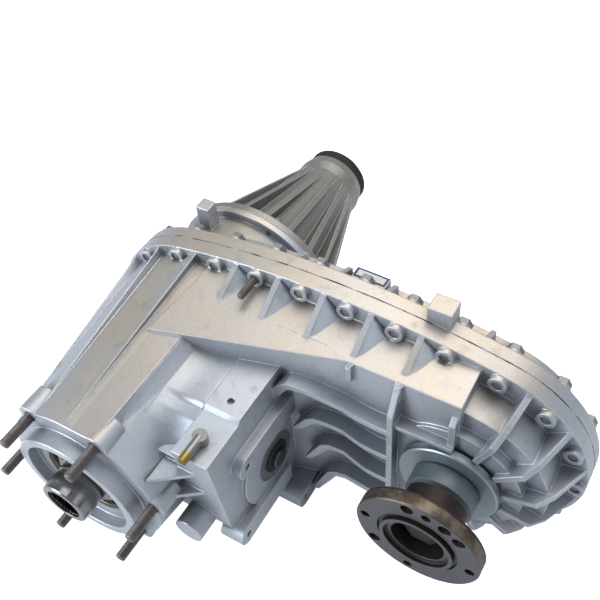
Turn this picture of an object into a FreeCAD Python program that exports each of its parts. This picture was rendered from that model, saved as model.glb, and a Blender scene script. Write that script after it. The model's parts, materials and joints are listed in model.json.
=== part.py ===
import FreeCAD, Part
import math
import operator
import os
import Sketcher
from FreeCAD import Placement, Rotation, Vector

# Chain driven transfer case, in millimetres.
# The main shaft lies on the Y axis and the front output shaft is parallel to it at X = centre_distance.
# Y = 0 is the face that bolts to the gearbox, +Y runs to the rear, +Z is up as the case lies on a bench.

doc = FreeCAD.newDocument("transfer_case")
sheet = doc.addObject("Spreadsheet::Sheet", "Sizes")

# Driving dimensions: name, value, meaning
DIMENSIONS = (
    ("centre_distance", 260, "main shaft axis to front output axis"),
    ("running_gap", 0.3, "gap between pieces that pass or turn in each other"),
    ("seat_gap", 0.05, "gap of a pressed or bolted round seat"),
    ("parting_plane", 194, "Y of the joint between the case halves"),
    ("front_flange", 14, "thickness of the joint flange on the front case"),
    ("rear_flange", 12, "thickness of the joint flange on the rear case"),
    ("end_radius_main", 98, "joint flange radius round the main shaft"),
    ("end_radius_front", 96, "joint flange radius round the front output"),
    ("crown_radius", 722, "radius of the crowned long sides of the flange"),
    ("flange_width", 21, "flange edge to chamber wall"),
    ("chamber_wall", 4, "wall round the chain"),
    ("wall", 6, "casting wall"),
    ("bolt_inset", 8, "flange edge to bolt circle line"),
    ("edge_step", 1.5, "how far ribs stay inside the flange edge"),
    ("bolt_radius", 4, "case bolt shank radius"),
    ("bolt_head_radius", 7, "case bolt head, across its corners"),
    ("bolt_seat_height", 3, "seat under each bolt head on the rear case"),
    ("bolt_boss_radius", 7.5, "spot boss round each case bolt"),
    ("bolt_boss_height", 5, "spot boss height"),
    ("bolt_pitch", 42, "bolt spacing along the long sides"),
    ("first_bolt_x", -20, "X of the first bolt on the long side"),
    ("first_rib_angle", 93, "angle of the first radial rib at the front output"),
    ("rib_step_angle", 27, "angle between radial ribs at the front output"),
    ("first_fin_angle", 90, "angle of the first fin on the barrel"),
    ("fin_step_angle", 26, "angle between fins on the barrel"),
    ("fin_slope_angle", 20, "angle that each fin slopes over, behind its crest"),
    ("rib_thickness", 5, "thickness of ribs, fins and gussets"),
    ("adapter_radius", 73, "radius of the gearbox face"),
    ("barrel_end_radius", 88, "barrel radius at the joint flange"),
    ("pilot_radius", 58, "pilot ring outer radius"),
    ("pilot_bore_radius", 50, "pilot ring inner radius"),
    ("pilot_length", 14, "pilot ring stand-out"),
    ("bearing_recess", 4, "face round the input bearing, in front of the gearbox face"),
    ("stud_circle_radius", 70, "adapter stud circle radius"),
    ("stud_radius", 4.75, "adapter stud radius"),
    ("stud_root_radius", 5.5, "adapter stud radius inside the case"),
    ("stud_length", 30, "adapter stud stand-out"),
    ("stud_depth", 20, "adapter stud depth in the case"),
    ("stud_first_angle", 6, "angle of the first adapter stud"),
    ("stud_boss_radius", 11, "boss round each adapter stud"),
    ("tower_length", 112, "length of the long stud boss"),
    ("tower_lean", 4, "outward lean of the long stud boss"),
    ("front_wall_y", 144, "face of the front wall beside the front output"),
    ("wedge_left_y", 101, "face of the front wall at the main shaft"),
    ("wedge_right_x", 168, "X where the front wall stops slanting"),
    ("ledge_height", 93, "height of the ledge at the joint flange"),
    ("ledge_low_height", 83, "height of the ledge at the main shaft"),
    ("wall_rib_depth", 14, "stand-out of the curved ribs on the front wall"),
    ("wall_rib_thickness", 6, "thickness of the curved ribs on the front wall"),
    ("web_x", 210, "X of the upright web beside the front output"),
    ("shift_left_x", 80, "left side of the shift housing above the barrel"),
    ("shift_root_top_z", 44, "top of the shift housing where it joins the barrel"),
    ("shift_wall_x", 113, "outer wall of the shift housing"),
    ("shift_front_y", 26, "front of the shift housing"),
    ("shift_top_z", 66, "top of the shift housing"),
    ("shift_step", 4, "step down to the vent pad"),
    ("shift_step_y", 69, "Y of the step to the vent pad"),
    ("shift_axis_y", 101, "sector shaft Y"),
    ("shift_axis_z", -24, "sector shaft Z"),
    ("shift_plate_radius", 45, "raised pad round the sector shaft"),
    ("shift_plate_height", 4, "raised pad height"),
    ("motor_pad_height", 9, "stand-out of the motor mount bars"),
    ("motor_boss_radius", 11, "end radius of the motor mount bars"),
    ("motor_hole_radius", 3.3, "tapped hole in the motor mount bars"),
    ("motor_hole_depth", 13, "depth of the tapped motor mount holes"),
    ("output_boss_radius", 58, "boss round the front output bearing"),
    ("output_boss_y", 141, "face of the front output boss"),
    ("chain_pitch_radius", 62, "sprocket pitch radius"),
    ("chain_height", 12, "chain plate height across the pitch line"),
    ("chain_width", 32, "chain and sprocket width"),
    ("chain_front_y", 170, "front of the chain"),
    ("chain_links", 90, "links in the chain"),
    ("sprocket_teeth", 36, "teeth on each sprocket"),
    ("ring_radius", 70, "annulus gear outer radius"),
    ("gear_front_y", 60, "front of the planetary gears"),
    ("gear_width", 28, "width of the planetary gears"),
    ("gear_module", 1.75, "gear module"),
    ("sun_teeth", 42, "teeth of the sun gear"),
    ("planet_teeth", 15, "teeth of each planet gear"),
    ("planet_count", 6, "planet gears"),
    ("tooth_backlash", 0.2, "thinning of each gear tooth"),
    ("pin_radius", 5, "planet pin radius"),
    ("carrier_radius", 58, "planet carrier plate radius"),
    ("carrier_plate", 6, "planet carrier plate thickness"),
    ("carrier_gap", 1, "planet gear to carrier plate"),
    ("carrier_bore_radius", 31, "bore of the carrier plates"),
    ("input_bearing_radius", 40, "input bearing outer radius"),
    ("input_journal_radius", 25, "input bearing journal radius"),
    ("input_bearing_width", 16, "input bearing width"),
    ("race_thickness", 4, "thickness of bearing races"),
    ("ball_count", 10, "balls in the input bearing"),
    ("stub_radius", 21.5, "input stub outer radius"),
    ("stub_length", 30.3, "input stub stand-out"),
    ("stub_groove_depth", 1.2, "depth of the groove round the input stub"),
    ("input_bore_radius", 16, "input spline bore radius"),
    ("input_spline_count", 32, "teeth of the input spline"),
    ("input_spline_depth", 1.2, "depth of the input spline"),
    ("shaft_radius", 17.5, "main shaft radius"),
    ("shaft_pilot_radius", 14, "main shaft pilot radius in the input gear"),
    ("shaft_end_y", 372, "rear end of the main shaft"),
    ("sleeve_radius", 38, "outer radius of the sliding sleeves"),
    ("sleeve_groove_depth", 5, "fork groove depth"),
    ("sleeve_groove_width", 8, "fork groove width"),
    ("range_sleeve_y", 100, "front of the range sleeve"),
    ("range_sleeve_width", 16, "length of the range sleeve"),
    ("range_nose_radius", 25.7, "toothed nose of the range sleeve"),
    ("range_nose_length", 18, "length of the range sleeve nose"),
    ("mode_hub_radius", 28, "mode hub radius"),
    ("clutch_boss_y", 152.5, "front of the clutch boss on the drive sprocket"),
    ("mode_hub_y", 134, "front of the mode hub"),
    ("mode_hub_width", 16, "length of the mode hub"),
    ("mode_sleeve_y", 144, "front of the mode sleeve"),
    ("mode_sleeve_width", 17, "length of the mode sleeve"),
    ("rail_x", 88, "shift rail X"),
    ("rail_z", -2, "shift rail Z"),
    ("rail_front_y", 35, "front end of the shift rail"),
    ("rail_seat_depth", 3, "depth of the rail seat in the rear case"),
    ("rail_radius", 7, "shift rail radius"),
    ("fork_thickness", 6, "shift fork thickness"),
    ("sector_radius", 9, "sector shaft radius"),
    ("sector_stand_out", 6, "sector shaft stand-out from its pad"),
    ("retainer_radius", 24, "shift shaft retainer ring radius"),
    ("retainer_thickness", 2.5, "shift shaft retainer ring thickness"),
    ("output_bearing_radius", 40, "front output bearing outer radius"),
    ("output_bearing_width", 18, "front output bearing width"),
    ("output_bearing_y", 149, "front of the front output bearing"),
    ("output_shaft_radius", 19, "front output shaft radius"),
    ("output_thread_radius", 10, "thread for the nut of the drive flange"),
    ("output_rear_radius", 26, "rear bearing of the front output shaft, outer radius"),
    ("output_seal_radius", 36, "front output seal outer radius"),
    ("flange_face_y", 76, "front face of the drive flange"),
    ("flange_radius", 51, "drive flange radius"),
    ("flange_thickness", 12, "drive flange thickness"),
    ("flange_hub_radius", 25, "drive flange hub radius"),
    ("flange_step_radius", 28, "collar radius beside the dust shield"),
    ("flange_step_y", 113, "front of the collar beside the dust shield"),
    ("flange_pocket_radius", 22, "pocket radius in the flange face"),
    ("flange_pocket_depth", 20, "pocket depth in the flange face"),
    ("nut_radius", 15, "nut of the drive flange, across its corners"),
    ("flange_lip_radius", 30, "centring lip radius on the flange face"),
    ("flange_lip_height", 2.5, "centring lip height"),
    ("flange_hole_circle", 43.5, "drive flange hole circle radius"),
    ("flange_hole_radius", 4, "drive flange bolt hole radius"),
    ("flange_hole_angle", -7.5, "angle of the first drive flange bolt hole"),
    ("flange_relief_radius", 5.2, "radius of the plain holes between the flange bolt holes"),
    ("shield_y", 131, "front of the dust shield"),
    ("shield_radius", 42, "dust shield radius"),
    ("shield_thickness", 2, "dust shield sheet thickness"),
    ("shield_skirt", 7, "dust shield skirt length"),
    ("rear_wall_y", 228, "rear face of the rear case"),
    ("dome_radius", 80, "rear dome radius at its foot"),
    ("dome_top_radius", 74, "rear dome radius under its flange"),
    ("tail_flange_y", 252, "front of the dome flange"),
    ("tail_joint_y", 258, "Y of the tail housing joint"),
    ("tail_flange_radius", 82, "tail housing flange radius"),
    ("tail_flange", 7, "tail housing flange thickness"),
    ("tail_root_radius", 62, "tail cone radius under the ribs"),
    ("tail_neck_y", 392, "Y where the tail cone ends"),
    ("tail_neck_radius", 36.5, "tail neck radius"),
    ("tail_end_y", 414, "end of the tail casting"),
    ("tail_end_radius", 34, "tail end radius"),
    ("tail_bore_radius", 25, "tail bore radius for the slip yoke"),
    ("tail_rib_count", 18, "ribs on the tail cone"),
    ("tail_rib_radius", 76, "rib radius at the tail flange"),
    ("tail_bolt_radius", 3, "bolts of the tail housing"),
    ("collar_length", 14, "rear seal collar length behind the casting"),
    ("collar_radius", 33.5, "rear seal collar radius"),
    ("rear_bearing_y", 234, "front of the rear bearing"),
    ("rear_bearing_radius", 36, "rear bearing outer radius"),
    ("rear_bearing_width", 17, "rear bearing width"),
    ("pump_radius", 44, "oil pump housing radius"),
    ("pump_y", 218, "front of the oil pump"),
    ("pump_width", 16, "oil pump width"),
    ("tone_radius", 34, "speed ring radius"),
    ("tone_y", 280, "front of the speed ring"),
    ("tone_width", 8, "speed ring width"),
    ("tone_teeth", 30, "teeth on the speed ring"),
    ("plug_radius", 9, "fill and drain plug thread radius"),
    ("plug_head_radius", 13, "plug head radius"),
    ("vent_radius", 4, "vent tube radius"),
    ("vent_length", 24, "vent tube nozzle length"),
)

for row, (alias, value, meaning) in enumerate(DIMENSIONS, start=1):
    sheet.set(f"A{row}", meaning)
    sheet.set(f"B{row}", str(value))
    sheet.setAlias(f"B{row}", alias)
doc.recompute()


class Size:
    """A number that keeps the sheet expression it was worked out from."""

    def __init__(self, value, text):
        self.value = value
        self.text = text

    def __add__(self, other):
        return combined(operator.add, "+", self, other)

    def __radd__(self, other):
        return combined(operator.add, "+", other, self)

    def __sub__(self, other):
        return combined(operator.sub, "-", self, other)

    def __rsub__(self, other):
        return combined(operator.sub, "-", other, self)

    def __mul__(self, other):
        return combined(operator.mul, "*", self, other)

    def __rmul__(self, other):
        return combined(operator.mul, "*", other, self)

    def __truediv__(self, other):
        return combined(operator.truediv, "/", self, other)

    def __rtruediv__(self, other):
        return combined(operator.truediv, "/", other, self)

    def __neg__(self):
        return combined(operator.mul, "*", -1, self)


class Dimensions:
    """Reads a named size from the sheet."""

    def __getattr__(self, name):
        return Size(float(sheet.get(name)), f"Sizes.{name}")


d = Dimensions()


def as_size(item):
    if isinstance(item, Size):
        return item
    return Size(float(item), repr(float(item)))


def combined(action, sign, left, right):
    left = as_size(left)
    right = as_size(right)
    return Size(action(left.value, right.value), f"({left.text} {sign} {right.text})")


def sine(angle):
    angle = as_size(angle)
    return Size(math.sin(math.radians(angle.value)), f"sin({angle.text})")


def cosine(angle):
    angle = as_size(angle)
    return Size(math.cos(math.radians(angle.value)), f"cos({angle.text})")


def root(area):
    return Size(math.sqrt(area.value), f"sqrt({area.text})")


def bind(item, setting, size):
    item.setExpression(setting, as_size(size).text)


# Sketches and solids

ALONG_Y = Rotation(Vector(1, 0, 0), -90)
ALONG_X = Rotation(Vector(0, 1, 0), 90)
PLANES = {
    "plan": ("XY_Plane", Rotation(), "z", Vector(0, 0, 1)),
    "across": ("XZ_Plane", Rotation(Vector(1, 0, 0), 90), "y", Vector(0, 1, 0)),
    "side": ("YZ_Plane", Rotation(Vector(1, 1, 1), 120), "x", Vector(1, 0, 0)),
}


def new_sketch(name, plane, body=None, offset=0):
    role, turn, axis, _ = PLANES[plane]
    if body is None:
        sketch = doc.addObject("Sketcher::SketchObject", name)
        sketch.Placement = Placement(Vector(), turn)
        bind(sketch, f"Placement.Base.{axis}", offset)
        return sketch
    sketch = body.newObject("Sketcher::SketchObject", name)
    origin_plane = [item for item in body.Origin.OriginFeatures if item.Role == role][0]
    sketch.AttachmentSupport = (origin_plane, [""])
    sketch.MapMode = "FlatFace"
    return sketch


def pin_point(sketch, edge, end, u, v):
    """Holds one end of a sketch edge at u, v from the origin."""
    for kind, size in (("DistanceX", u), ("DistanceY", v)):
        size = as_size(size)
        index = sketch.addConstraint(Sketcher.Constraint(kind, -1, 1, edge, end, size.value))
        bind(sketch, f"Constraints[{index}]", size)


def corner_sketch(name, plane, corners, body=None, offset=0):
    """A closed outline of straight edges; each corner is a pair of sizes."""
    sketch = new_sketch(name, plane, body, offset)
    points = [Vector(as_size(u).value, as_size(v).value, 0) for u, v in corners]
    count = len(points)
    for i in range(count):
        sketch.addGeometry(Part.LineSegment(points[i], points[(i + 1) % count]), False)
    for i in range(count):
        sketch.addConstraint(Sketcher.Constraint("Coincident", i, 2, (i + 1) % count, 1))
    for i, (u, v) in enumerate(corners):
        pin_point(sketch, i, 1, u, v)
    return sketch


def extruded(name, sketch, plane, length):
    solid = doc.addObject("Part::Extrusion", name)
    solid.Base = sketch
    solid.DirMode = "Custom"
    solid.Dir = PLANES[plane][3]
    solid.Solid = True
    bind(solid, "LengthFwd", length)
    return solid


def prism(name, plane, corners, start, length):
    sketch = corner_sketch(name + "_outline", plane, corners, offset=start)
    return extruded(name, sketch, plane, length)


def turned(label, profile, x=0, y=0, z=0, axis="y"):
    """A body turned round the shaft axis; the profile is radius and station pairs."""
    body = doc.addObject("PartDesign::Body", label)
    if axis == "y":
        corners = profile
        turning_axis = "V_Axis"
    else:
        corners = [(station, radius) for radius, station in profile]
        turning_axis = "H_Axis"
    sketch = corner_sketch(label + "_profile", "plan", corners, body)
    feature = body.newObject("PartDesign::Revolution", label + "_turning")
    feature.Profile = sketch
    feature.ReferenceAxis = (sketch, [turning_axis])
    feature.Angle = 360
    for direction, size in (("x", x), ("y", y), ("z", z)):
        bind(body, f"Placement.Base.{direction}", size)
    return body


def sleeve_profile(inner, outer, start, length):
    return [(inner, start), (outer, start), (outer, start + length), (inner, start + length)]


def rod(name, radius, start, length, x=0, z=0):
    """A round bar along Y."""
    bar = doc.addObject("Part::Cylinder", name)
    bar.Placement = Placement(Vector(), ALONG_Y)
    bind(bar, "Radius", radius)
    bind(bar, "Height", length)
    bind(bar, "Placement.Base.x", x)
    bind(bar, "Placement.Base.y", start)
    bind(bar, "Placement.Base.z", z)
    return bar


def cross_rod(name, radius, start, length, y=0, z=0):
    """A round bar along X."""
    bar = doc.addObject("Part::Cylinder", name)
    bar.Placement = Placement(Vector(), ALONG_X)
    bind(bar, "Radius", radius)
    bind(bar, "Height", length)
    bind(bar, "Placement.Base.x", start)
    bind(bar, "Placement.Base.y", y)
    bind(bar, "Placement.Base.z", z)
    return bar


def post(name, radius, start, length, x=0, y=0):
    """A round bar along Z."""
    bar = doc.addObject("Part::Cylinder", name)
    bind(bar, "Radius", radius)
    bind(bar, "Height", length)
    bind(bar, "Placement.Base.x", x)
    bind(bar, "Placement.Base.y", y)
    bind(bar, "Placement.Base.z", start)
    return bar


def loft(name, front, front_y, back, back_y):
    """A straight sided solid between two outlines with as many corners."""
    solid = doc.addObject("Part::Loft", name)
    front_outline = corner_sketch(name + "_front", "across", front, offset=front_y)
    back_outline = corner_sketch(name + "_back", "across", back, offset=back_y)
    solid.Sections = [front_outline, back_outline]
    solid.Solid = True
    solid.Ruled = True
    return solid


def block(name, corner, lengths):
    box = doc.addObject("Part::Box", name)
    for direction, size in zip("xyz", corner):
        bind(box, f"Placement.Base.{direction}", size)
    for setting, size in zip(("Length", "Width", "Height"), lengths):
        bind(box, setting, size)
    return box


def joined(name, pieces):
    whole = doc.addObject("Part::MultiFuse", name)
    whole.Shapes = pieces
    whole.Refine = True
    return whole


def group(name, pieces):
    """Separate solids kept together in one node."""
    whole = doc.addObject("Part::Compound", name)
    whole.Links = pieces
    return whole


def cut(name, base, tool):
    rest = doc.addObject("Part::Cut", name)
    rest.Base = base
    rest.Tool = tool
    rest.Refine = True
    return rest


def common(name, first, second):
    overlap = doc.addObject("Part::MultiCommon", name)
    overlap.Shapes = [first, second]
    return overlap


def turn_about_shaft(item, angle, x=0):
    """Turns an item about the Y direction, from +X towards +Z, round a shaft at x."""
    item.Placement = Placement(Vector(), Rotation(Vector(0, 1, 0), 0))
    bind(item, "Placement.Rotation.Angle", -1 * as_size(angle))
    item.Placement.Rotation.Axis = Vector(0, 1, 0)
    bind(item, "Placement.Base.x", x)


def polar(radius, angle, x=0):
    """X and Z of a point on a circle round a shaft."""
    return x + radius * cosine(angle), radius * sine(angle)


# Outline of the joint between the case halves

def crown_centre(radius_a, radius_b, crown):
    """Centre of an arc that both end circles touch from inside."""
    reach_a = crown - radius_a
    reach_b = crown - radius_b
    span = d.centre_distance
    x = (reach_a * reach_a - reach_b * reach_b + span * span) / (2 * span)
    return x, root(reach_a * reach_a - x * x)


def outline_sketch(name, inset, y):
    """End arcs round both shafts joined by two crowned sides, all tangent."""
    sketch = new_sketch(name, "across", offset=y)
    radius_a = d.end_radius_main - inset
    radius_b = d.end_radius_front - inset
    crown = d.crown_radius - inset
    span = d.centre_distance.value
    cx, cz = crown_centre(radius_a, radius_b, crown)
    turn_a = math.atan2(cz.value, -cx.value)
    turn_b = math.atan2(cz.value, span - cx.value)
    up = Vector(0, 0, 1)
    arcs = (
        (Vector(), radius_a, turn_a, 2 * math.pi - turn_a),
        (Vector(cx.value, cz.value, 0), crown, 2 * math.pi - turn_a, 2 * math.pi - turn_b),
        (Vector(span, 0, 0), radius_b, -turn_b, turn_b),
        (Vector(cx.value, -cz.value, 0), crown, turn_b, turn_a),
    )
    for centre, radius, first, last in arcs:
        circle = Part.Circle(centre, up, radius.value)
        sketch.addGeometry(Part.ArcOfCircle(circle, first, last), False)
    for i in range(4):
        sketch.addConstraint(Sketcher.Constraint("Tangent", i, 2, (i + 1) % 4, 1))
    pin_point(sketch, 0, 3, 0, 0)
    pin_point(sketch, 2, 3, d.centre_distance, 0)
    for i, radius in enumerate((radius_a, crown, radius_b, crown)):
        index = sketch.addConstraint(Sketcher.Constraint("Radius", i, radius.value))
        bind(sketch, f"Constraints[{index}]", radius)
    return sketch


def outline_plate(name, inset, start, length):
    return extruded(name, outline_sketch(name + "_outline", inset, start), "across", length)


def crown_point(x, inset, side):
    """A point on a crowned side of the outline, above (side 1) or below (side -1)."""
    radius = d.crown_radius - inset
    cx, cz = crown_centre(d.end_radius_main - inset, d.end_radius_front - inset, radius)
    offset = x - cx
    return x, side * (root(radius * radius - offset * offset) - cz)


def bolt_points():
    """Bolts between the ribs, all round the joint flange."""
    points = []
    for side in (1, -1):
        for i in range(8):
            points.append(crown_point(d.first_bolt_x + i * d.bolt_pitch, d.bolt_inset, side))
    for i in range(1, 6):
        angle = d.first_rib_angle - (i + 0.5) * d.rib_step_angle
        points.append(polar(d.end_radius_front - d.bolt_inset, angle, d.centre_distance))
    for i in range(1, 6):
        angle = d.first_fin_angle + (i + 0.5) * d.fin_step_angle
        points.append(polar(d.end_radius_main - d.bolt_inset, angle))
    return points


def stud_points():
    return [polar(d.stud_circle_radius, d.stud_first_angle + 60 * i) for i in range(6)]


MOTOR_BOSSES = (
    # Y and Z of each tapped hole, length of its bar, X of its foot
    (60, 22, 78, 100),
    (44, -64, 70, 100),
    (112, -97, 40, 112),
)

CURVED_RIBS = (
    # X and Z of the lower end and of the crest, and Z at the web
    ((103, 32), (119, 58), 37),
    ((125, 0), (139, 17), 0),
    ((133, -44), (149, -19), -36),
    ((137, -95), (154, -62), -67),
)
RIB_FALL_SHARE = 0.75


def slant_wall(stand_out, back_y, right_x, left_x=0, back_left_x=0):
    """Plan of the front wall: slanted up to wedge_right_x, then straight."""
    return [
        (left_x, d.wedge_left_y - stand_out),
        (d.wedge_right_x, d.front_wall_y - stand_out),
        (right_x, d.front_wall_y - stand_out),
        (right_x, back_y),
        (back_left_x, back_y),
    ]


def curved_rib(name, low_end, crest, web_z):
    """One rib on the front wall: hooked down at its left end, then falling in an S to the web."""
    half = d.wall_rib_thickness.value / 2
    (x0, z0), (x1, z1) = low_end, crest
    web_x = d.web_x.value

    def fall(share):
        eased = min(share / RIB_FALL_SHARE, 1)
        return z1 + (web_z - z1) * eased * eased * (3 - 2 * eased)

    def edge(start_x, lift):
        shares = (0, 0.2, 0.4, 0.6, 0.75, 1)
        curve = Part.BSplineCurve()
        curve.interpolate([Vector(start_x + (web_x - start_x) * t, 0, fall(t) + lift) for t in shares])
        return curve.toShape()

    upper = edge(x1 + 4, half)
    lower = edge(x1 + 6, -half)
    hook = [
        lower.valueAt(lower.FirstParameter), Vector(x0 + 6, 0, z0), Vector(x0, 0, z0),
        Vector(x1 - 2, 0, z1), upper.valueAt(upper.FirstParameter),
    ]
    web_end = Part.makePolygon([upper.valueAt(upper.LastParameter), lower.valueAt(lower.LastParameter)])
    outline = Part.Wire(Part.__sortEdges__([upper, lower] + Part.makePolygon(hook).Edges + web_end.Edges))
    solid = Part.Face(outline).extrude(Vector(0, d.parting_plane.value - d.wedge_left_y.value, 0))
    rib = doc.addObject("Part::Feature", name)
    rib.Shape = solid
    bind(rib, "Placement.Base.y", d.wedge_left_y)
    return rib


def front_outer_pieces():
    flange_y = d.parting_plane - d.front_flange
    pieces = [
        outline_plate("front_flange_plate", 0, flange_y, d.front_flange),
        outline_plate(
            "front_chamber", d.flange_width, d.front_wall_y + d.wall,
            d.parting_plane - d.front_wall_y - d.wall
        ),
        turned(
            "front_barrel", [(0, 0), (d.adapter_radius, 0), (d.barrel_end_radius, flange_y), (0, flange_y)]
        ),
        rod("pilot_ring", d.pilot_radius, -d.pilot_length, d.pilot_length + 1),
    ]
    slope_profile = [
        (flange_y + 1, d.ledge_height), (d.wedge_left_y - 2, d.ledge_low_height),
        (d.wedge_left_y - 2, -d.ledge_low_height), (flange_y + 1, -d.ledge_height),
    ]
    slope = prism("ledge_slope", "side", slope_profile, 0, d.centre_distance)
    ledge_outline = slant_wall(0, flange_y + 1, d.centre_distance, 5, 17)
    plan = prism("ledge_plan", "plan", ledge_outline, -d.ledge_height, 2 * d.ledge_height)
    pieces.append(common("ledge", slope, plan))
    for i, (x, z) in enumerate(stud_points()):
        pieces.append(rod(f"stud_boss_{i}", d.stud_boss_radius, 0, d.stud_depth + 4, x, z))
    pieces.extend(stud_tower())
    pieces.append(barrel_fins(flange_y))
    pieces.extend(flange_gussets(flange_y))
    pieces.extend(output_ribs(flange_y))
    for i, (x, z) in enumerate(bolt_points()):
        pieces.append(
            rod(
                f"bolt_boss_{i}", d.bolt_boss_radius, flange_y - d.bolt_boss_height,
                d.bolt_boss_height + 1, x, z
            )
        )
    pieces.append(
        rod(
            "output_boss", d.output_boss_radius, d.output_boss_y,
            d.parting_plane - d.output_boss_y - 10, d.centre_distance
        )
    )
    pieces.extend(shift_housing_pieces())
    pieces.append(wall_ribs())
    web_face = d.front_wall_y - d.wall_rib_depth
    wall_inside = d.front_wall_y + 10
    web = [(web_face, -72), (web_face, 60), (d.front_wall_y - 1, 88), (wall_inside, 88), (wall_inside, -72)]
    pieces.append(prism("front_web", "side", web, d.web_x - d.rib_thickness / 2, d.rib_thickness))
    bridge_z = d.shield_radius + 1
    bridge = [
        (web_face + 3, bridge_z), (web_face + 3, bridge_z + 4), (wall_inside, bridge_z + 6),
        (wall_inside, bridge_z)
    ]
    pieces.append(prism("output_bridge", "side", bridge, d.web_x, d.centre_distance - d.web_x))
    return pieces


def stud_tower():
    """The long half round boss behind the upper right stud, and the flat strip beside it."""
    turn = d.stud_first_angle + 60
    x, z = polar(d.stud_circle_radius, turn)
    tower = rod("stud_tower", d.stud_boss_radius, 0, d.tower_length, x, z)
    angle = math.radians(turn.value)
    lean_axis = Vector(math.sin(angle), 0, -math.cos(angle))
    lean = Rotation(lean_axis, d.tower_lean.value)
    tower.Placement = Placement(Vector(x.value, 0, z.value), lean.multiply(ALONG_Y))
    end_x, end_z = polar(d.stud_circle_radius + d.tower_length * sine(d.tower_lean), turn)
    crest = d.stud_boss_radius - 0.5

    def strip(edge_z, stud_x, stud_z):
        return [(4, stud_z - 4), (4, edge_z), (stud_x + 2, stud_z + crest), (stud_x + 8, stud_z - 4)]

    front = strip(d.adapter_radius - 0.5, x, z)
    back = strip(d.ledge_low_height - 1, end_x, end_z)
    return [tower, loft("tower_strip", front, 0, back, d.tower_length)]


def fin_section(angle, crest, foot):
    """Root, crest and foot of one saw tooth."""
    return [polar(as_size(60), angle), polar(crest, angle), polar(foot, angle + d.fin_slope_angle)]


def barrel_fins(flange_y):
    """Saw tooth fins from the gearbox face out to the joint flange, hollowed round the bolts."""
    fins = []
    for i in range(8):
        angle = d.first_fin_angle + i * d.fin_step_angle
        front = fin_section(angle, d.adapter_radius + 0.5, d.adapter_radius - 2)
        back = fin_section(angle, d.end_radius_main - d.edge_step, d.barrel_end_radius - 3)
        fins.append(loft(f"barrel_fin_{i}", front, 3, back, flange_y + 2))
    pockets = []
    for i, (x, z) in enumerate(bolt_points()):
        pockets.append(rod(f"fin_pocket_{i}", d.bolt_boss_radius + 4, flange_y - 16, 20, x, z))
    return cut("barrel_fin_set", joined("barrel_fin_blanks", fins), group("fin_pockets", pockets))


def flange_gussets(flange_y):
    """Triangular gussets between the joint flange and the ledge, above and below."""
    gussets = []
    for i in range(5):
        x = d.first_bolt_x + (i + 1.5) * d.bolt_pitch
        _, top = crown_point(x, d.edge_step, 1)
        for side, word in ((1, "upper"), (-1, "lower")):
            profile = [
                (flange_y + 1, side * top), (flange_y - 40, side * (d.ledge_height - 9)),
                (flange_y - 40, side * (d.ledge_height - 24)), (flange_y + 1, side * (d.ledge_height - 24)),
            ]
            gussets.append(
                prism(f"{word}_gusset_{i}", "side", profile, x - d.rib_thickness / 2, d.rib_thickness)
            )
    return gussets


def output_ribs(flange_y):
    """Radial ribs from the front output boss out to the joint flange."""
    ribs = []
    half = d.rib_thickness / 2
    for i in range(7):
        profile = [
            (d.output_boss_radius - 14, d.output_boss_y - 5), (70, d.output_boss_y - 3),
            (80, d.front_wall_y + 6),
            (d.end_radius_front - d.edge_step, flange_y + 2), (d.output_boss_radius - 14, flange_y + 2),
        ]
        rib = prism(f"output_rib_{i}", "plan", profile, -half, d.rib_thickness)
        turn_about_shaft(rib, d.first_rib_angle - i * d.rib_step_angle, d.centre_distance)
        ribs.append(rib)
    return ribs


def wall_ribs():
    """The curved ribs, trimmed to stand out evenly from the slanted wall."""
    ribs = [curved_rib(f"wall_rib_{i}", *points) for i, points in enumerate(CURVED_RIBS)]
    band_plan = slant_wall(d.wall_rib_depth, d.parting_plane - d.front_flange, d.centre_distance)
    band = prism("wall_rib_band", "plan", band_plan, -120, 240)
    return common("wall_ribs", joined("wall_rib_set", ribs), band)


def shift_housing_pieces():
    """The box for the shift linkage, with its vent pad, motor mount and gussets."""
    top = d.shift_top_z
    low_top = top - d.shift_step
    front = d.shift_front_y
    step_y = d.shift_step_y
    side = [
        (front, low_top), (step_y, low_top), (step_y + 3, top), (150, top),
        (150, -88), (70, -88), (50, -76), (front + 8, -44),
    ]
    root_top = d.shift_root_top_z
    root_side = [(front + 4, root_top), (150, root_top), (150, -88), (70, -88), (50, -76), (front + 8, -44)]
    pieces = [
        prism("shift_box", "side", side, d.shift_left_x, d.shift_wall_x - d.shift_left_x),
        prism("shift_root", "side", root_side, 50, d.shift_left_x - 49),
    ]
    wall = d.shift_wall_x
    plate_depth = d.shift_plate_height + 20
    pieces.append(
        cross_rod("shift_plate", d.shift_plate_radius, wall - 20, plate_depth, d.shift_axis_y, d.shift_axis_z)
    )
    for i, (y, z, length, foot_x) in enumerate(MOTOR_BOSSES):
        stand_out = wall + d.motor_pad_height - foot_x
        if i == 2:
            stand_out = stand_out + 14
        radius = d.motor_boss_radius
        pieces.append(cross_rod(f"motor_boss_{i}", radius, foot_x, stand_out, y, z))
        pieces.append(block(f"motor_bar_{i}", (foot_x, y, z - radius), (stand_out, length, 2 * radius)))
    for i, height in enumerate((34, 6)):
        gusset = [(66, 6), (wall - 6, front + 10), (66, front + 40)]
        pieces.append(prism(f"shift_gusset_{i}", "plan", gusset, height, d.rib_thickness - 1))
    pieces.append(rod("side_boss", 13, 12, 50, 86, -38))
    return pieces


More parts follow.
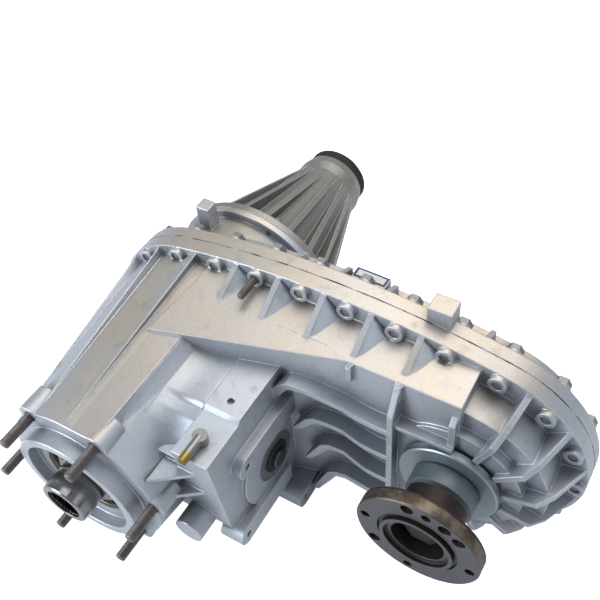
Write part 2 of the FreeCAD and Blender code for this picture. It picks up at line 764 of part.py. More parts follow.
def front_cut_pieces():
    flange_y = d.parting_plane - d.front_flange
    seat_end = d.input_bearing_width - 2
    chain_inset = d.flange_width + d.chamber_wall
    ring_seat = d.ring_radius + d.seat_gap
    gear_front = d.gear_front_y
    inner = [
        (0, seat_end - 1), (34, seat_end - 1), (34, 22), (60, 28), (60, gear_front - 1),
        (ring_seat, gear_front - 1), (ring_seat, 112), (78, 124), (78, d.parting_plane + 1),
        (0, d.parting_plane + 1),
    ]
    pieces = [
        rod("pilot_recess", d.pilot_bore_radius, -d.pilot_length - 1, d.pilot_length + 1 - d.bearing_recess),
        rod(
            "input_bearing_seat", d.input_bearing_radius + d.seat_gap, -d.bearing_recess - 1,
            seat_end + 1 + d.bearing_recess
        ),
        turned("planetary_cavity", inner),
        outline_plate(
            "front_chain_cavity", chain_inset, d.front_wall_y + 2 * d.wall, d.parting_plane - d.front_wall_y
        ),
    ]
    wedge = slant_wall(-9, d.front_wall_y + 30, 230)
    pieces.append(prism("wedge_cavity", "plan", wedge, -72, 144))
    room_top = d.shift_root_top_z - d.wall
    shift_room = [(36, room_top), (150, room_top), (150, -78), (76, -78), (58, -68), (46, -40)]
    room = prism("shift_room", "side", shift_room, 50, d.shift_wall_x - d.wall - 50)
    upper_front = (d.shift_left_x + d.wall, 36, room_top - 1)
    upper_room = block(
        "upper_shift_room", upper_front, (d.shift_wall_x - 2 * d.wall - d.shift_left_x, 114, 19)
    )
    pieces.append(
        cut("shift_cavity", joined("shift_rooms", [room, upper_room]), rod("barrel_keep", 78, 0, 97))
    )
    pieces.append(post("pad_hole", 3, d.shift_top_z - 4, 5, 97, 83))
    y, z = d.shift_axis_y, d.shift_axis_z
    face_x = d.shift_wall_x + d.shift_plate_height
    pieces.append(cross_rod("sector_bore", d.sector_radius + d.running_gap, 95, 40, y, z))
    pieces.append(
        cross_rod(
            "retainer_seat", d.retainer_radius + d.seat_gap, face_x - d.retainer_thickness + 0.5, 10, y, z
        )
    )
    pieces.append(rod("rail_seat", d.rail_radius + d.seat_gap, d.rail_front_y, 20, d.rail_x, d.rail_z))
    centre = d.centre_distance
    pieces.append(rod("output_seal_seat", d.output_seal_radius + d.seat_gap, d.output_boss_y - 1, 12, centre))
    bearing_seat = rod(
        "output_bearing_seat", d.output_bearing_radius + d.seat_gap, d.output_bearing_y, 40, centre
    )
    pieces.append(bearing_seat)
    for i, (x, bolt_z) in enumerate(bolt_points()):
        pieces.append(
            rod(f"bolt_hole_{i}", d.bolt_radius + d.running_gap, flange_y - 8, d.front_flange + 9, x, bolt_z)
        )
    for i, (x, stud_z) in enumerate(stud_points()):
        pieces.append(rod(f"stud_hole_{i}", d.stud_root_radius + d.seat_gap, -1, d.stud_depth + 1, x, stud_z))
    for i, (hole_y, hole_z, _, foot_x) in enumerate(MOTOR_BOSSES):
        face = d.shift_wall_x + d.motor_pad_height
        if i == 2:
            face = face + 14
        pieces.append(
            cross_rod(
                f"motor_hole_{i}", d.motor_hole_radius, face - d.motor_hole_depth,
                d.motor_hole_depth + 1, hole_y, hole_z
            )
        )
    return pieces


def bearing_wall():
    """The inner boss that holds the front output bearing."""
    outer = d.output_bearing_radius + d.seat_gap + d.wall + 1
    return turned("output_bearing_boss", [
        (d.output_bearing_radius + d.seat_gap, d.output_bearing_y + 1),
        (outer, d.output_bearing_y + 1),
        (outer, d.output_bearing_y + d.output_bearing_width),
        (d.output_bearing_radius + d.seat_gap, d.output_bearing_y + d.output_bearing_width),
    ], x=d.centre_distance)


def front_case():
    shell = joined("front_case_solid", front_outer_pieces())
    hollow = joined("front_case_hollow", front_cut_pieces())
    hollowed = cut("front_case_shell", shell, hollow)
    return joined("front_case", [hollowed, bearing_wall()])


# Rear case and tail housing

def tail_bolt_points():
    """Bolts between the tail ribs, just inside the edge of the tail flange."""
    return [polar(d.tail_flange_radius - 6, 360 / 36 + 60 * i) for i in range(6)]


PLUG_PLACES = (("fill_plug", 150, 20), ("drain_plug", 170, -50))


def rail_end():
    return d.rear_wall_y - d.wall + d.rail_seat_depth


def rear_case():
    start = d.parting_plane
    depth = d.rear_wall_y - start
    pieces = [
        outline_plate("rear_flange_plate", 0, start, d.rear_flange),
        outline_plate("rear_chamber", d.flange_width, start, depth),
        turned("rear_dome", [
            (0, start), (d.dome_radius, start), (d.dome_radius, d.rear_wall_y - 8),
            (d.dome_top_radius, d.tail_flange_y),
            (d.tail_flange_radius, d.tail_flange_y), (d.tail_flange_radius, d.tail_joint_y),
            (0, d.tail_joint_y),
        ]),
        rod("rear_output_boss", 34, start, depth + 10, d.centre_distance),
    ]
    for i, (x, z) in enumerate(bolt_points()):
        pieces.append(
            rod(f"rear_bolt_boss_{i}", d.bolt_boss_radius, start, d.rear_flange + d.bolt_seat_height, x, z)
        )
    for i in range(5):
        x = d.first_bolt_x + (i + 2.5) * d.bolt_pitch
        _, top = crown_point(x, 2, 1)
        for side, word in ((1, "upper"), (-1, "lower")):
            profile = [
                (start + 1, side * top), (start + d.rear_flange, side * top),
                (d.rear_wall_y - 4, side * (top - 10)),
                (d.rear_wall_y - 4, side * (top - 20)), (start + 1, side * (top - 20)),
            ]
            pieces.append(prism(f"rear_{word}_gusset_{i}", "side", profile, x - 2, 4))
    pieces.append(block("rear_lug", (208, start + 1, 90), (20, 17, 30)))
    pieces.append(block("dome_lug", (-33, start + 33, 55), (13, 13, 45)))
    shell = joined("rear_case_solid", pieces)
    chain_inset = d.flange_width + d.chamber_wall
    cavity = d.parting_plane - 1
    hollow = [
        outline_plate("rear_chain_cavity", chain_inset, cavity, depth + 1 - d.wall),
        turned("dome_cavity", [
            (0, cavity), (70, cavity), (70, d.rear_wall_y - 4), (62, d.rear_bearing_y), (0, d.rear_bearing_y),
        ]),
        rod("rear_bearing_seat", d.rear_bearing_radius + d.seat_gap, cavity, d.tail_joint_y - cavity + 1),
        rod(
            "rear_output_seat", d.output_rear_radius + d.seat_gap, cavity, d.rear_wall_y + 5 - cavity,
            d.centre_distance
        ),
        rod("rear_rail_seat", d.rail_radius + d.seat_gap, cavity, rail_end() - cavity, d.rail_x, d.rail_z),
    ]
    for label, x, z in PLUG_PLACES:
        hollow.append(rod(label + "_hole", d.plug_radius + d.seat_gap, cavity, depth + 4, x, z))
    for i, (x, z) in enumerate(bolt_points()):
        hollow.append(
            rod(f"rear_bolt_hole_{i}", d.bolt_radius + d.running_gap, cavity, d.rear_flange + 5, x, z)
        )
        seat_y = start + d.rear_flange + d.bolt_seat_height
        hollow.append(rod(f"rear_spot_face_{i}", d.bolt_head_radius + 1, seat_y, 9, x, z))
    for i, (x, z) in enumerate(tail_bolt_points()):
        hollow.append(
            rod(f"dome_bolt_hole_{i}", d.tail_bolt_radius + d.seat_gap, d.tail_flange_y - 1, 30, x, z)
        )
    return cut("rear_case", shell, joined("rear_case_hollow", hollow))


def tail_housing():
    """A ribbed cone; its ribs fade into the neck."""
    joint = d.tail_joint_y
    body = doc.addObject("PartDesign::Body", "tail_casting")
    bore_end = d.tail_neck_y - 6
    outline = [
        (d.rear_bearing_radius - 3, joint), (d.tail_flange_radius, joint),
        (d.tail_flange_radius, joint + d.tail_flange),
        (d.tail_root_radius, joint + d.tail_flange), (d.tail_neck_radius, d.tail_neck_y),
        (d.tail_neck_radius, d.tail_neck_y + 12), (d.tail_end_radius, d.tail_end_y),
        (d.tail_bore_radius + 4, d.tail_end_y),
        (d.tail_bore_radius + 4, bore_end), (28, bore_end), (28, 360), (44, 280), (44, joint + 20),
        (d.rear_bearing_radius - 3, joint + 6),
    ]
    sketch = corner_sketch("tail_profile", "plan", outline, body)
    cone = body.newObject("PartDesign::Revolution", "tail_cone")
    cone.Profile = sketch
    cone.ReferenceAxis = (sketch, ["V_Axis"])
    cone.Angle = 360
    doc.recompute()
    rib_profile = [
        (d.tail_root_radius - 8, joint + 2), (d.tail_rib_radius, joint + 2),
        (d.tail_rib_radius, joint + d.tail_flange),
        (d.tail_neck_radius + 0.5, d.tail_neck_y - 2), (d.tail_neck_radius - 4, d.tail_neck_y - 2),
    ]
    rib_sketch = corner_sketch("tail_rib_profile", "plan", rib_profile, body)
    rib = body.newObject("PartDesign::Pad", "tail_rib")
    rib.Profile = rib_sketch
    bind(rib, "Length", d.rib_thickness)
    rib.Midplane = True
    ring = body.newObject("PartDesign::PolarPattern", "tail_ribs")
    ring.Originals = [rib]
    ring.Axis = (rib_sketch, ["V_Axis"])
    ring.Angle = 360
    bind(ring, "Occurrences", d.tail_rib_count)
    body.Tip = ring
    holes = []
    for i, (x, z) in enumerate(tail_bolt_points()):
        holes.append(
            rod(f"tail_bolt_hole_{i}", d.tail_bolt_radius + d.seat_gap, joint - 1, d.tail_flange + 2, x, z)
        )
    return cut("tail_housing", body, group("tail_bolt_holes", holes))


# Gears

def involute(angle):
    return math.tan(angle) - angle


def tooth_half_angle(teeth, radius, inner=False):
    """Half the angle that a 20 degree involute tooth fills at a radius."""
    pressure = math.radians(20)
    pitch_radius = d.gear_module.value * teeth / 2
    base_radius = pitch_radius * math.cos(pressure)
    local = math.acos(min(1, base_radius / max(radius, base_radius)))
    flank = involute(pressure) - involute(local)
    if inner:
        flank = -flank
    backlash = d.tooth_backlash.value / 2 / pitch_radius
    return math.pi / 2 / teeth + flank - backlash


def toothed_wire(teeth, root_radius, tip_radius, root_half, tip_half, phase=0):
    """Straight sided teeth round the Y axis, as a closed wire."""
    points = []
    for i in range(teeth):
        centre = phase + 2 * math.pi * i / teeth
        for radius, angle in (
            (root_radius, centre - root_half), (tip_radius, centre - tip_half),
            (tip_radius, centre + tip_half), (root_radius, centre + root_half),
        ):
            points.append(Vector(radius * math.cos(angle), 0, radius * math.sin(angle)))
    points.append(points[0])
    return Part.makePolygon(points)


def gear_wire(teeth, phase=0, inner=False):
    module = d.gear_module.value
    pitch_radius = module * teeth / 2
    inward = 0.8 if inner else 1.2
    outward = 1.2 if inner else 0.85
    root_radius = pitch_radius - inward * module
    tip_radius = pitch_radius + outward * module
    if inner:
        root_radius, tip_radius = tip_radius, root_radius
    root_half = tooth_half_angle(teeth, root_radius, inner)
    tip_half = tooth_half_angle(teeth, tip_radius, inner)
    return toothed_wire(teeth, root_radius, tip_radius, root_half, tip_half, phase)


def wheel(label, outer_wire, inner_wire, start, length, x=0):
    """A flat wheel between two wires, from start along Y."""
    face = Part.makeFace([outer_wire, inner_wire], "Part::FaceMakerBullseye")
    item = doc.addObject("Part::Feature", label)
    item.Shape = face.extrude(Vector(0, as_size(length).value, 0))
    item.Placement = Placement(Vector(), Rotation())
    bind(item, "Placement.Base.x", x)
    bind(item, "Placement.Base.y", start)
    return item


def circle_wire(radius):
    circle = Part.Circle(Vector(), Vector(0, 1, 0), as_size(radius).value)
    return Part.Wire(circle.toShape())


def planet_radius():
    return d.gear_module * (d.sun_teeth + d.planet_teeth) / 2


def annulus_gear():
    teeth = int(d.sun_teeth.value + 2 * d.planet_teeth.value)
    inner = gear_wire(teeth, math.pi / teeth, inner=True)
    return wheel("annulus_gear", circle_wire(d.ring_radius), inner, d.gear_front_y, d.gear_width)


def planet_gears():
    gears = []
    bore = circle_wire(d.pin_radius + d.running_gap)
    for i in range(int(d.planet_count.value)):
        angle = 360 * i / d.planet_count.value
        name = f"planet_gear_{i + 1}"
        wire = gear_wire(int(d.planet_teeth.value), math.radians(angle))
        gear = wheel(name, wire, bore, d.gear_front_y + 0.5, d.gear_width - 1)
        x, z = polar(planet_radius(), angle)
        bind(gear, "Placement.Base.x", x)
        bind(gear, "Placement.Base.z", z)
        gears.append(gear)
    return gears


def pin_places(name, radius, start, length):
    rods = []
    for i in range(int(d.planet_count.value)):
        x, z = polar(planet_radius(), 360 * i / d.planet_count.value)
        rods.append(rod(f"{name}_{i}", radius, start, length, x, z))
    return rods


def carrier_pieces():
    front = d.gear_front_y - d.carrier_gap - d.carrier_plate
    rear = d.gear_front_y + d.gear_width + d.carrier_gap
    length = rear + d.carrier_plate - front
    plates = []
    for label, start in (("carrier_front_plate", front), ("carrier_rear_plate", rear)):
        blank = turned(
            label + "_blank", sleeve_profile(d.carrier_bore_radius, d.carrier_radius, start, d.carrier_plate)
        )
        holes = group(
            label + "_holes", pin_places(label + "_hole", d.pin_radius, start - 1, d.carrier_plate + 2)
        )
        plates.append(cut(label, blank, holes))
    return plates + [group("planet_pins", pin_places("planet_pin", d.pin_radius, front, length))]


# Input side

def input_gear():
    """Splined stub, bearing journal and sun gear in one forging."""
    sun_front = d.gear_front_y
    sun_end = sun_front + d.gear_width
    stub = d.stub_radius
    journal = d.input_journal_radius
    root_radius = d.gear_module * (d.sun_teeth / 2 - 1.2)
    bore = d.input_bore_radius
    pilot = d.shaft_pilot_radius + d.running_gap
    clutch = d.range_nose_radius + d.running_gap
    groove_y = -14
    profile = [
        (bore, -d.stub_length), (stub - 1, -d.stub_length), (stub, 1 - d.stub_length), (stub, groove_y),
        (stub - d.stub_groove_depth, groove_y), (stub - d.stub_groove_depth, groove_y + 4),
        (stub, groove_y + 4),
        (stub, -5), (journal, -5), (journal, d.input_bearing_width - 2),
        (journal + 3, d.input_bearing_width - 2),
        (journal + 3, 24), (journal - 1, 26), (journal - 1, sun_front - 1), (root_radius, sun_front),
        (root_radius, sun_end),
        (clutch, sun_end), (clutch, sun_end - 8), (pilot, sun_end - 8), (pilot, 34), (bore, 30),
    ]
    blank = turned("input_gear_blank", profile)
    teeth = wheel(
        "sun_teeth", gear_wire(int(d.sun_teeth.value)), circle_wire(root_radius - 2), sun_front, d.gear_width
    )
    count = int(d.input_spline_count.value)
    half = math.pi / count / 2
    depth = d.input_spline_depth.value
    tip = bore.value - depth
    spline = toothed_wire(count, bore.value + depth, tip, half, half * 0.8)
    splines = wheel("input_splines", circle_wire(bore + 3), spline, 2 - d.stub_length, 40)
    return joined("input_gear", [blank, teeth, splines])


def ball_bearing(label, outer_radius, inner_radius, start, width, x=0):
    """Outer and inner race; the balls, if shown, are a node of their own."""
    outer_label, inner_label = f"{label}_outer_race", f"{label}_inner_race"
    outer = turned(
        outer_label, sleeve_profile(outer_radius - d.race_thickness, outer_radius, start, width), x=x
    )
    inner = turned(
        inner_label, sleeve_profile(inner_radius, inner_radius + d.race_thickness, start, width), x=x
    )
    return [outer, inner]


def input_balls():
    """Balls held in a ribbon cage between the races of the input bearing."""
    inner = d.input_journal_radius + d.race_thickness
    outer = d.input_bearing_radius - d.race_thickness
    middle = (inner + outer) / 2
    ball_radius = (outer - inner) / 2 - d.running_gap
    centre_y = d.input_bearing_width / 2 - 2
    ring = turned("ball_cage_ring", sleeve_profile(middle - 0.8, middle + 0.8, centre_y - 4.5, 9))
    pockets = []
    balls = []
    half = ball_radius + 0.2
    window = [
        (middle - 2, centre_y - half), (middle + 2, centre_y - half),
        (middle + 2, centre_y + half), (middle - 2, centre_y + half),
    ]
    for i in range(int(d.ball_count.value)):
        angle = 360 * i / d.ball_count.value
        x, z = polar(middle, angle)
        ball = doc.addObject("Part::Sphere", f"ball_{i}")
        bind(ball, "Radius", ball_radius)
        bind(ball, "Placement.Base.x", x)
        bind(ball, "Placement.Base.y", centre_y)
        bind(ball, "Placement.Base.z", z)
        balls.append(ball)
        pocket = prism(f"ball_pocket_{i}", "plan", window, -half, 2 * half)
        turn_about_shaft(pocket, angle)
        pockets.append(pocket)
    cage = cut("ball_cage", ring, group("ball_pockets", pockets))
    return group("input_bearing_balls", [cage] + balls)


def adapter_studs():
    studs = []
    for i, (x, z) in enumerate(stud_points()):
        shank = rod(f"stud_shank_{i}", d.stud_radius, -d.stud_length, d.stud_length + 1, x, z)
        root_end = rod(f"stud_root_{i}", d.stud_root_radius, 0, d.stud_depth, x, z)
        studs.append(joined(f"adapter_stud_{i}", [shank, root_end]))
    return group("adapter_studs", studs)


# Main shaft and what turns or slides on it

def main_shaft():
    r = d.shaft_radius
    pilot = d.shaft_pilot_radius
    shoulder_y = d.gear_front_y + d.gear_width + 6
    return turned("main_shaft", [
        (0, 36), (pilot - 1, 36), (pilot, 37), (pilot, shoulder_y), (r, shoulder_y), (r, d.chain_front_y - 2),
        (r + 1, d.chain_front_y - 2), (r + 1, d.pump_y - 2), (r, d.pump_y - 2), (r, d.shaft_end_y - 60),
        (r - 1.5, d.shaft_end_y - 58), (r - 1.5, d.shaft_end_y - 1), (r - 2.5, d.shaft_end_y),
        (0, d.shaft_end_y),
    ])


def grooved_sleeve(label, bore, start, width):
    """A sliding sleeve with a groove for its fork."""
    middle = start + width / 2
    half = d.sleeve_groove_width / 2
    floor = d.sleeve_radius - d.sleeve_groove_depth
    end = start + width
    return turned(label, [
        (bore, start), (d.sleeve_radius, start), (d.sleeve_radius, middle - half), (floor, middle - half),
        (floor, middle + half), (d.sleeve_radius, middle + half), (d.sleeve_radius, end), (bore, end),
    ])


def range_sleeve():
    """The sliding sleeve with a toothed nose that locks into the input gear."""
    bore = d.shaft_radius + d.running_gap
    collar = grooved_sleeve("range_collar", bore, d.range_sleeve_y, d.range_sleeve_width)
    nose_start = d.range_sleeve_y - d.range_nose_length
    nose = turned(
        "range_nose", sleeve_profile(bore, d.range_nose_radius, nose_start, d.range_nose_length + 1)
    )
    return joined("range_sleeve", [collar, nose])


def mode_hub():
    return turned(
        "mode_hub", sleeve_profile(d.shaft_radius, d.mode_hub_radius, d.mode_hub_y, d.mode_hub_width)
    )


def sprocket(label, bore, x=0):
    """A toothed wheel for the chain, with a boss on its front side."""
    tip = d.chain_pitch_radius.value - d.chain_height.value / 2 - d.running_gap.value
    count = int(d.sprocket_teeth.value)
    wire = toothed_wire(count, tip - 3, tip, math.pi / count * 0.7, math.pi / count * 0.3)
    return wheel(label, wire, circle_wire(bore), d.chain_front_y + 2, d.chain_width - 4, x)


def drive_sprocket():
    """The main shaft's sprocket, with the boss that the mode sleeve locks onto."""
    bore = d.shaft_radius + 1
    length = d.chain_front_y + 3 - d.clutch_boss_y
    boss = turned("clutch_boss", sleeve_profile(bore, d.mode_hub_radius, d.clutch_boss_y, length))
    return joined("drive_sprocket", [sprocket("drive_sprocket_wheel", bore), boss])


def chain():
    """A closed chain; its outer side is stepped link by link."""
    pitch = d.chain_pitch_radius.value
    half = d.chain_height.value / 2
    span = d.centre_distance.value
    outer = pitch + half
    inner = pitch - half
    length = 2 * span + 2 * math.pi * pitch
    step = length / d.chain_links.value

    def along(distance, radius):
        distance = distance % length
        arc = math.pi * pitch
        if distance < span:
            return Vector(distance, 0, radius)
        distance -= span
        if distance < arc:
            angle = math.pi / 2 - distance / pitch
            return Vector(span + radius * math.cos(angle), 0, radius * math.sin(angle))
        distance -= arc
        if distance < span:
            return Vector(span - distance, 0, -radius)
        angle = -math.pi / 2 - (distance - span) / pitch
        return Vector(radius * math.cos(angle), 0, radius * math.sin(angle))

    points = []
    for i in range(int(d.chain_links.value)):
        points.append(along((i + 0.15) * step, outer))
        points.append(along((i + 0.85) * step, outer))
        points.append(along((i + 1) * step, outer - 1.5))
    points.append(points[0])
    top = Vector(0, 0, inner)
    far_top = Vector(span, 0, inner)
    inside = Part.Wire([
        Part.LineSegment(top, far_top).toShape(),
        Part.Arc(far_top, Vector(span + inner, 0, 0), Vector(span, 0, -inner)).toShape(),
        Part.LineSegment(Vector(span, 0, -inner), Vector(0, 0, -inner)).toShape(),
        Part.Arc(Vector(0, 0, -inner), Vector(-inner, 0, 0), top).toShape(),
    ])
    return wheel("chain", Part.makePolygon(points), inside, d.chain_front_y, d.chain_width)


def tone_wheel():
    count = int(d.tone_teeth.value)
    half = math.pi / count / 2
    wire = toothed_wire(count, d.tone_radius.value - 2.5, d.tone_radius.value, half, half * 0.9)
    return wheel("speed_ring", wire, circle_wire(d.shaft_radius), d.tone_y, d.tone_width)


def oil_pump():
    start = d.pump_y
    housing = turned("oil_pump_housing", sleeve_profile(27, d.pump_radius, start, d.pump_width))
    rotor = turned(
        "oil_pump_rotor", sleeve_profile(d.shaft_radius, 27 - d.running_gap, start + 1, d.pump_width - 2)
    )
    return [housing, rotor]


def tail_pieces():
    seal_start = d.tail_neck_y - 6
    bushing = turned("tail_bushing", sleeve_profile(d.tail_bore_radius, 28 - d.seat_gap, 364, 20))
    end = d.tail_end_y
    collar = turned("tail_seal", [
        (d.tail_bore_radius, seal_start), (d.tail_bore_radius + 4 - d.seat_gap, seal_start),
        (d.tail_bore_radius + 4 - d.seat_gap, end), (d.collar_radius, end),
        (d.collar_radius, end + d.collar_length - 3),
        (d.collar_radius - 3, end + d.collar_length), (d.tail_bore_radius, end + d.collar_length),
    ])
    return [bushing, collar]


# Front output

def front_output_shaft():
    r = d.output_shaft_radius
    thread = d.output_thread_radius
    shoulder = d.flange_face_y + d.flange_pocket_depth + 8
    return turned("front_output_shaft", [
        (0, 84), (thread - 1, 84), (thread, 85), (thread, shoulder), (r, shoulder), (r, d.output_bearing_y),
        (r + 1, d.output_bearing_y), (r + 1, d.chain_front_y + d.chain_width + 8),
        (14, d.chain_front_y + d.chain_width + 8),
        (14, 230), (0, 230),
    ], x=d.centre_distance)


FLANGE_RELIEF_ANGLES = (51, 70, 110, 223.5)


def output_flange():
    face = d.flange_face_y
    back = face + d.flange_thickness
    hub_end = d.output_bearing_y
    seal_land = d.output_shaft_radius + 5
    lip = d.flange_lip_radius
    bolt_bore = d.output_thread_radius + d.running_gap
    blank = turned("output_flange_blank", [
        (d.flange_pocket_radius, face + 1), (lip - 3, face + 1), (lip - 3, face - d.flange_lip_height),
        (lip, face - d.flange_lip_height), (lip, face + 2), (lip + 3, face + 2), (lip + 3, face),
        (d.flange_radius - 1, face), (d.flange_radius, face + 1), (d.flange_radius, back - 1),
        (d.flange_radius - 1, back),
        (d.flange_hub_radius, back), (d.flange_hub_radius, d.flange_step_y),
        (d.flange_step_radius, d.flange_step_y + 2),
        (d.flange_step_radius, d.shield_y - 1), (seal_land, d.shield_y - 1), (seal_land, hub_end),
        (d.output_shaft_radius, hub_end), (d.output_shaft_radius, face + d.flange_pocket_depth + 8),
        (bolt_bore, face + d.flange_pocket_depth + 8), (bolt_bore, face + d.flange_pocket_depth),
        (d.flange_pocket_radius, face + d.flange_pocket_depth),
    ], x=d.centre_distance)
    holes = []
    for i, angle in enumerate((0, 90, 180, 270) + FLANGE_RELIEF_ANGLES):
        x, z = polar(d.flange_hole_circle, d.flange_hole_angle + angle, d.centre_distance)
        radius = d.flange_hole_radius if i < 4 else d.flange_relief_radius
        holes.append(rod(f"flange_hole_{i}", radius, face - 4, d.flange_thickness + 8, x, z))
    return cut("output_flange", blank, group("flange_holes", holes))


def dust_shield():
    start = d.shield_y
    t = d.shield_thickness
    land = d.output_shaft_radius + 5
    end = start + d.shield_skirt
    return turned("dust_shield", [
        (land, start), (d.shield_radius - 1, start), (d.shield_radius, start + 1), (d.shield_radius, end),
        (d.shield_radius - t, end), (d.shield_radius - t, start + t), (land, start + t),
    ], x=d.centre_distance)


def flange_nut():
    face = d.flange_face_y + d.flange_pocket_depth
    corners = [polar(d.nut_radius, 60 * i, d.centre_distance) for i in range(6)]
    hexagon = prism("flange_nut_hexagon", "across", corners, face - 11, 9)
    hole = rod("flange_nut_bore", d.output_thread_radius, face - 14, 14, d.centre_distance)
    ring = sleeve_profile(d.output_thread_radius + d.running_gap, d.nut_radius + 3, face - 2, 2)
    washer = turned("flange_washer", ring, x=d.centre_distance)
    return [cut("flange_nut", hexagon, hole), washer]


def output_seal():
    start = d.output_boss_y
    inner = d.output_shaft_radius + 5
    return turned(
        "front_output_seal", sleeve_profile(inner + d.running_gap, d.output_seal_radius, start, 8),
        x=d.centre_distance
    )


# Shift linkage

def shift_rail():
    return rod("shift_rail", d.rail_radius, d.rail_front_y, rail_end() - d.rail_front_y, d.rail_x, d.rail_z)


def fork(label, centre_y, reach_gap):
    """A yoke whose pads sit in a sleeve groove and whose boss slides on the rail."""
    t = d.fork_thickness
    start = centre_y - t / 2
    groove = d.sleeve_radius - d.sleeve_groove_depth + d.running_gap
    outer = d.sleeve_radius + 8
    ring = turned(label + "_ring", sleeve_profile(groove, outer, start, t))
    keep = block(label + "_half", (0, start - 1, -outer - 1), (outer + 1, t + 2, 2 * outer + 2))
    yoke = common(label + "_yoke", ring, keep)
    arm = block(
        label + "_arm", (d.sleeve_radius + 2, start, d.rail_z - 7), (d.rail_x - d.sleeve_radius - 2, t, 14)
    )
    boss = rod(label + "_boss", d.rail_radius + 5, centre_y - reach_gap / 2, reach_gap, d.rail_x, d.rail_z)
    solid = joined(label + "_solid", [yoke, arm, boss])
    bore = rod(label + "_bore", d.rail_radius + d.running_gap, centre_y - 40, 80, d.rail_x, d.rail_z)
    return cut(label, solid, bore)


def sector_pieces():
    y, z = d.shift_axis_y, d.shift_axis_z
    face_x = d.shift_wall_x + d.shift_plate_height
    start = 99.5
    shaft = turned("sector_shaft", [
        (0, start), (d.sector_radius, start), (d.sector_radius, face_x + d.sector_stand_out - 1),
        (d.sector_radius - 1, face_x + d.sector_stand_out), (0, face_x + d.sector_stand_out),
    ], y=y, z=z, axis="x")
    plate = cross_rod("sector_plate", 20, start + 2.5, 3.5, y, z)
    hole = cross_rod("sector_plate_bore", d.sector_radius, start, 10, y, z)
    sector = cut("shift_sector", plate, hole)
    inner = d.sector_radius + d.running_gap
    retainer = turned("shift_shaft_retainer", [
        (inner + 6, face_x - d.retainer_thickness + 0.5),
        (d.retainer_radius, face_x - d.retainer_thickness + 0.5),
        (d.retainer_radius, face_x + 0.5), (inner + 6, face_x + 0.5),
    ], y=y, z=z, axis="x")
    seal = turned("shift_shaft_seal", [
        (inner, face_x - 2), (inner + 5.9, face_x - 2), (inner + 5.9, face_x + 1.5), (inner, face_x + 2.5),
    ], y=y, z=z, axis="x")
    return [shaft, sector, retainer, seal]


# Fasteners and small pieces

def hexagon_head(name, radius, start, length, x, z):
    corners = [(x + radius * cosine(60 * i), z + radius * sine(60 * i)) for i in range(6)]
    return prism(name, "across", corners, start, length)


STUD_BOLT = 2


def case_bolts():
    """Hexagon flange bolts put in from the rear; only the first one is a stud."""
    bolts = []
    head_y = d.parting_plane + d.rear_flange + d.bolt_seat_height
    flange_y = d.parting_plane - d.front_flange
    for i, (x, z) in enumerate(bolt_points()):
        start = flange_y + 1 if i == STUD_BOLT else flange_y - d.bolt_boss_height + 1.5
        shank = rod(f"case_bolt_shank_{i}", d.bolt_radius, start, head_y - start + 1, x, z)
        head = hexagon_head(f"case_bolt_head_{i}", d.bolt_head_radius, head_y, 6, x, z)
        bolts.append(joined(f"case_bolt_{i}", [shank, head]))
    return group("case_bolts", bolts)


def vent_tube():
    """A short nozzle on the vent pad, bent towards the gearbox."""
    top = d.shift_top_z - d.shift_step
    base = post("vent_base", d.vent_radius + 2, top, 9, 96, 44)
    nozzle = rod("vent_nozzle", d.vent_radius, 44 - d.vent_length, d.vent_length, 96, top + 6)
    return joined("vent_tube", [base, nozzle])


def plugs():
    """Hexagon headed fill and drain plugs on the rear face."""
    items = []
    for label, x, z in PLUG_PLACES:
        head = hexagon_head(label + "_head", d.plug_head_radius, d.rear_wall_y, 8, x, z)
        items.append(joined(label, [head, rod(label + "_thread", d.plug_radius, d.rear_wall_y - 5, 6, x, z)]))
    return items


def snap_rings():
    """Rings that hold the annulus gear and the input bearing."""
    gear_end = d.gear_front_y + d.gear_width
    ring = sleeve_profile(d.ring_radius - 4, d.ring_radius, gear_end, 2)
    bearing_ring = sleeve_profile(d.input_bearing_radius - 3, d.input_bearing_radius, -4, 2)
    return [turned("annulus_snap_ring", ring), turned("input_snap_ring", bearing_ring)]


def output_rear_bearing():
    """Needle bearing cup that carries the rear end of the front output shaft."""
    start = d.chain_front_y + d.chain_width + 10
    profile = sleeve_profile(14 + d.running_gap, d.output_rear_radius, start, d.rear_wall_y + 5 - start)
    return turned("front_output_rear_bearing", profile, x=d.centre_distance)


def tail_bolts():
    """Hexagon bolts that hold the tail housing, put in from the rear."""
    bolts = []
    head_y = d.tail_joint_y + d.tail_flange
    for i, (x, z) in enumerate(tail_bolt_points()):
        shank = rod(
            f"tail_bolt_shank_{i}", d.tail_bolt_radius, d.tail_flange_y, head_y - d.tail_flange_y + 1, x, z
        )
        bolts.append(
            joined(f"tail_bolt_{i}", [shank, hexagon_head(f"tail_bolt_head_{i}", 4.5, head_y, 4, x, z)])
        )
    return group("tail_bolts", bolts)


def sump_pieces():
    """The pump's pickup tube and the magnet that collects swarf in the rear case."""
    start = d.pump_y + 1
    low = -(d.end_radius_main - d.flange_width - d.chamber_wall) + 6
    drop = post("pickup_drop", 5, low, -d.pump_radius - low - d.running_gap, 0, start)
    strainer = turned("pickup_strainer", sleeve_profile(0, 9, start - 8, 8), z=low + 5)
    magnet = rod("sump_magnet", 8, d.rear_wall_y - d.wall - 5, 5, 120, -60)
    return [joined("oil_pickup", [drop, strainer]), magnet]


def flange_stud():
    """The stud that stands out of the joint flange beside the second gusset."""
    x, z = bolt_points()[STUD_BOLT]
    face = d.parting_plane - d.front_flange - d.bolt_boss_height
    return rod("flange_stud", d.bolt_radius - 0.5, face - 22, 27.5, x, z)


def register(items):
    for item in items:
        PARTS[item.Label] = item


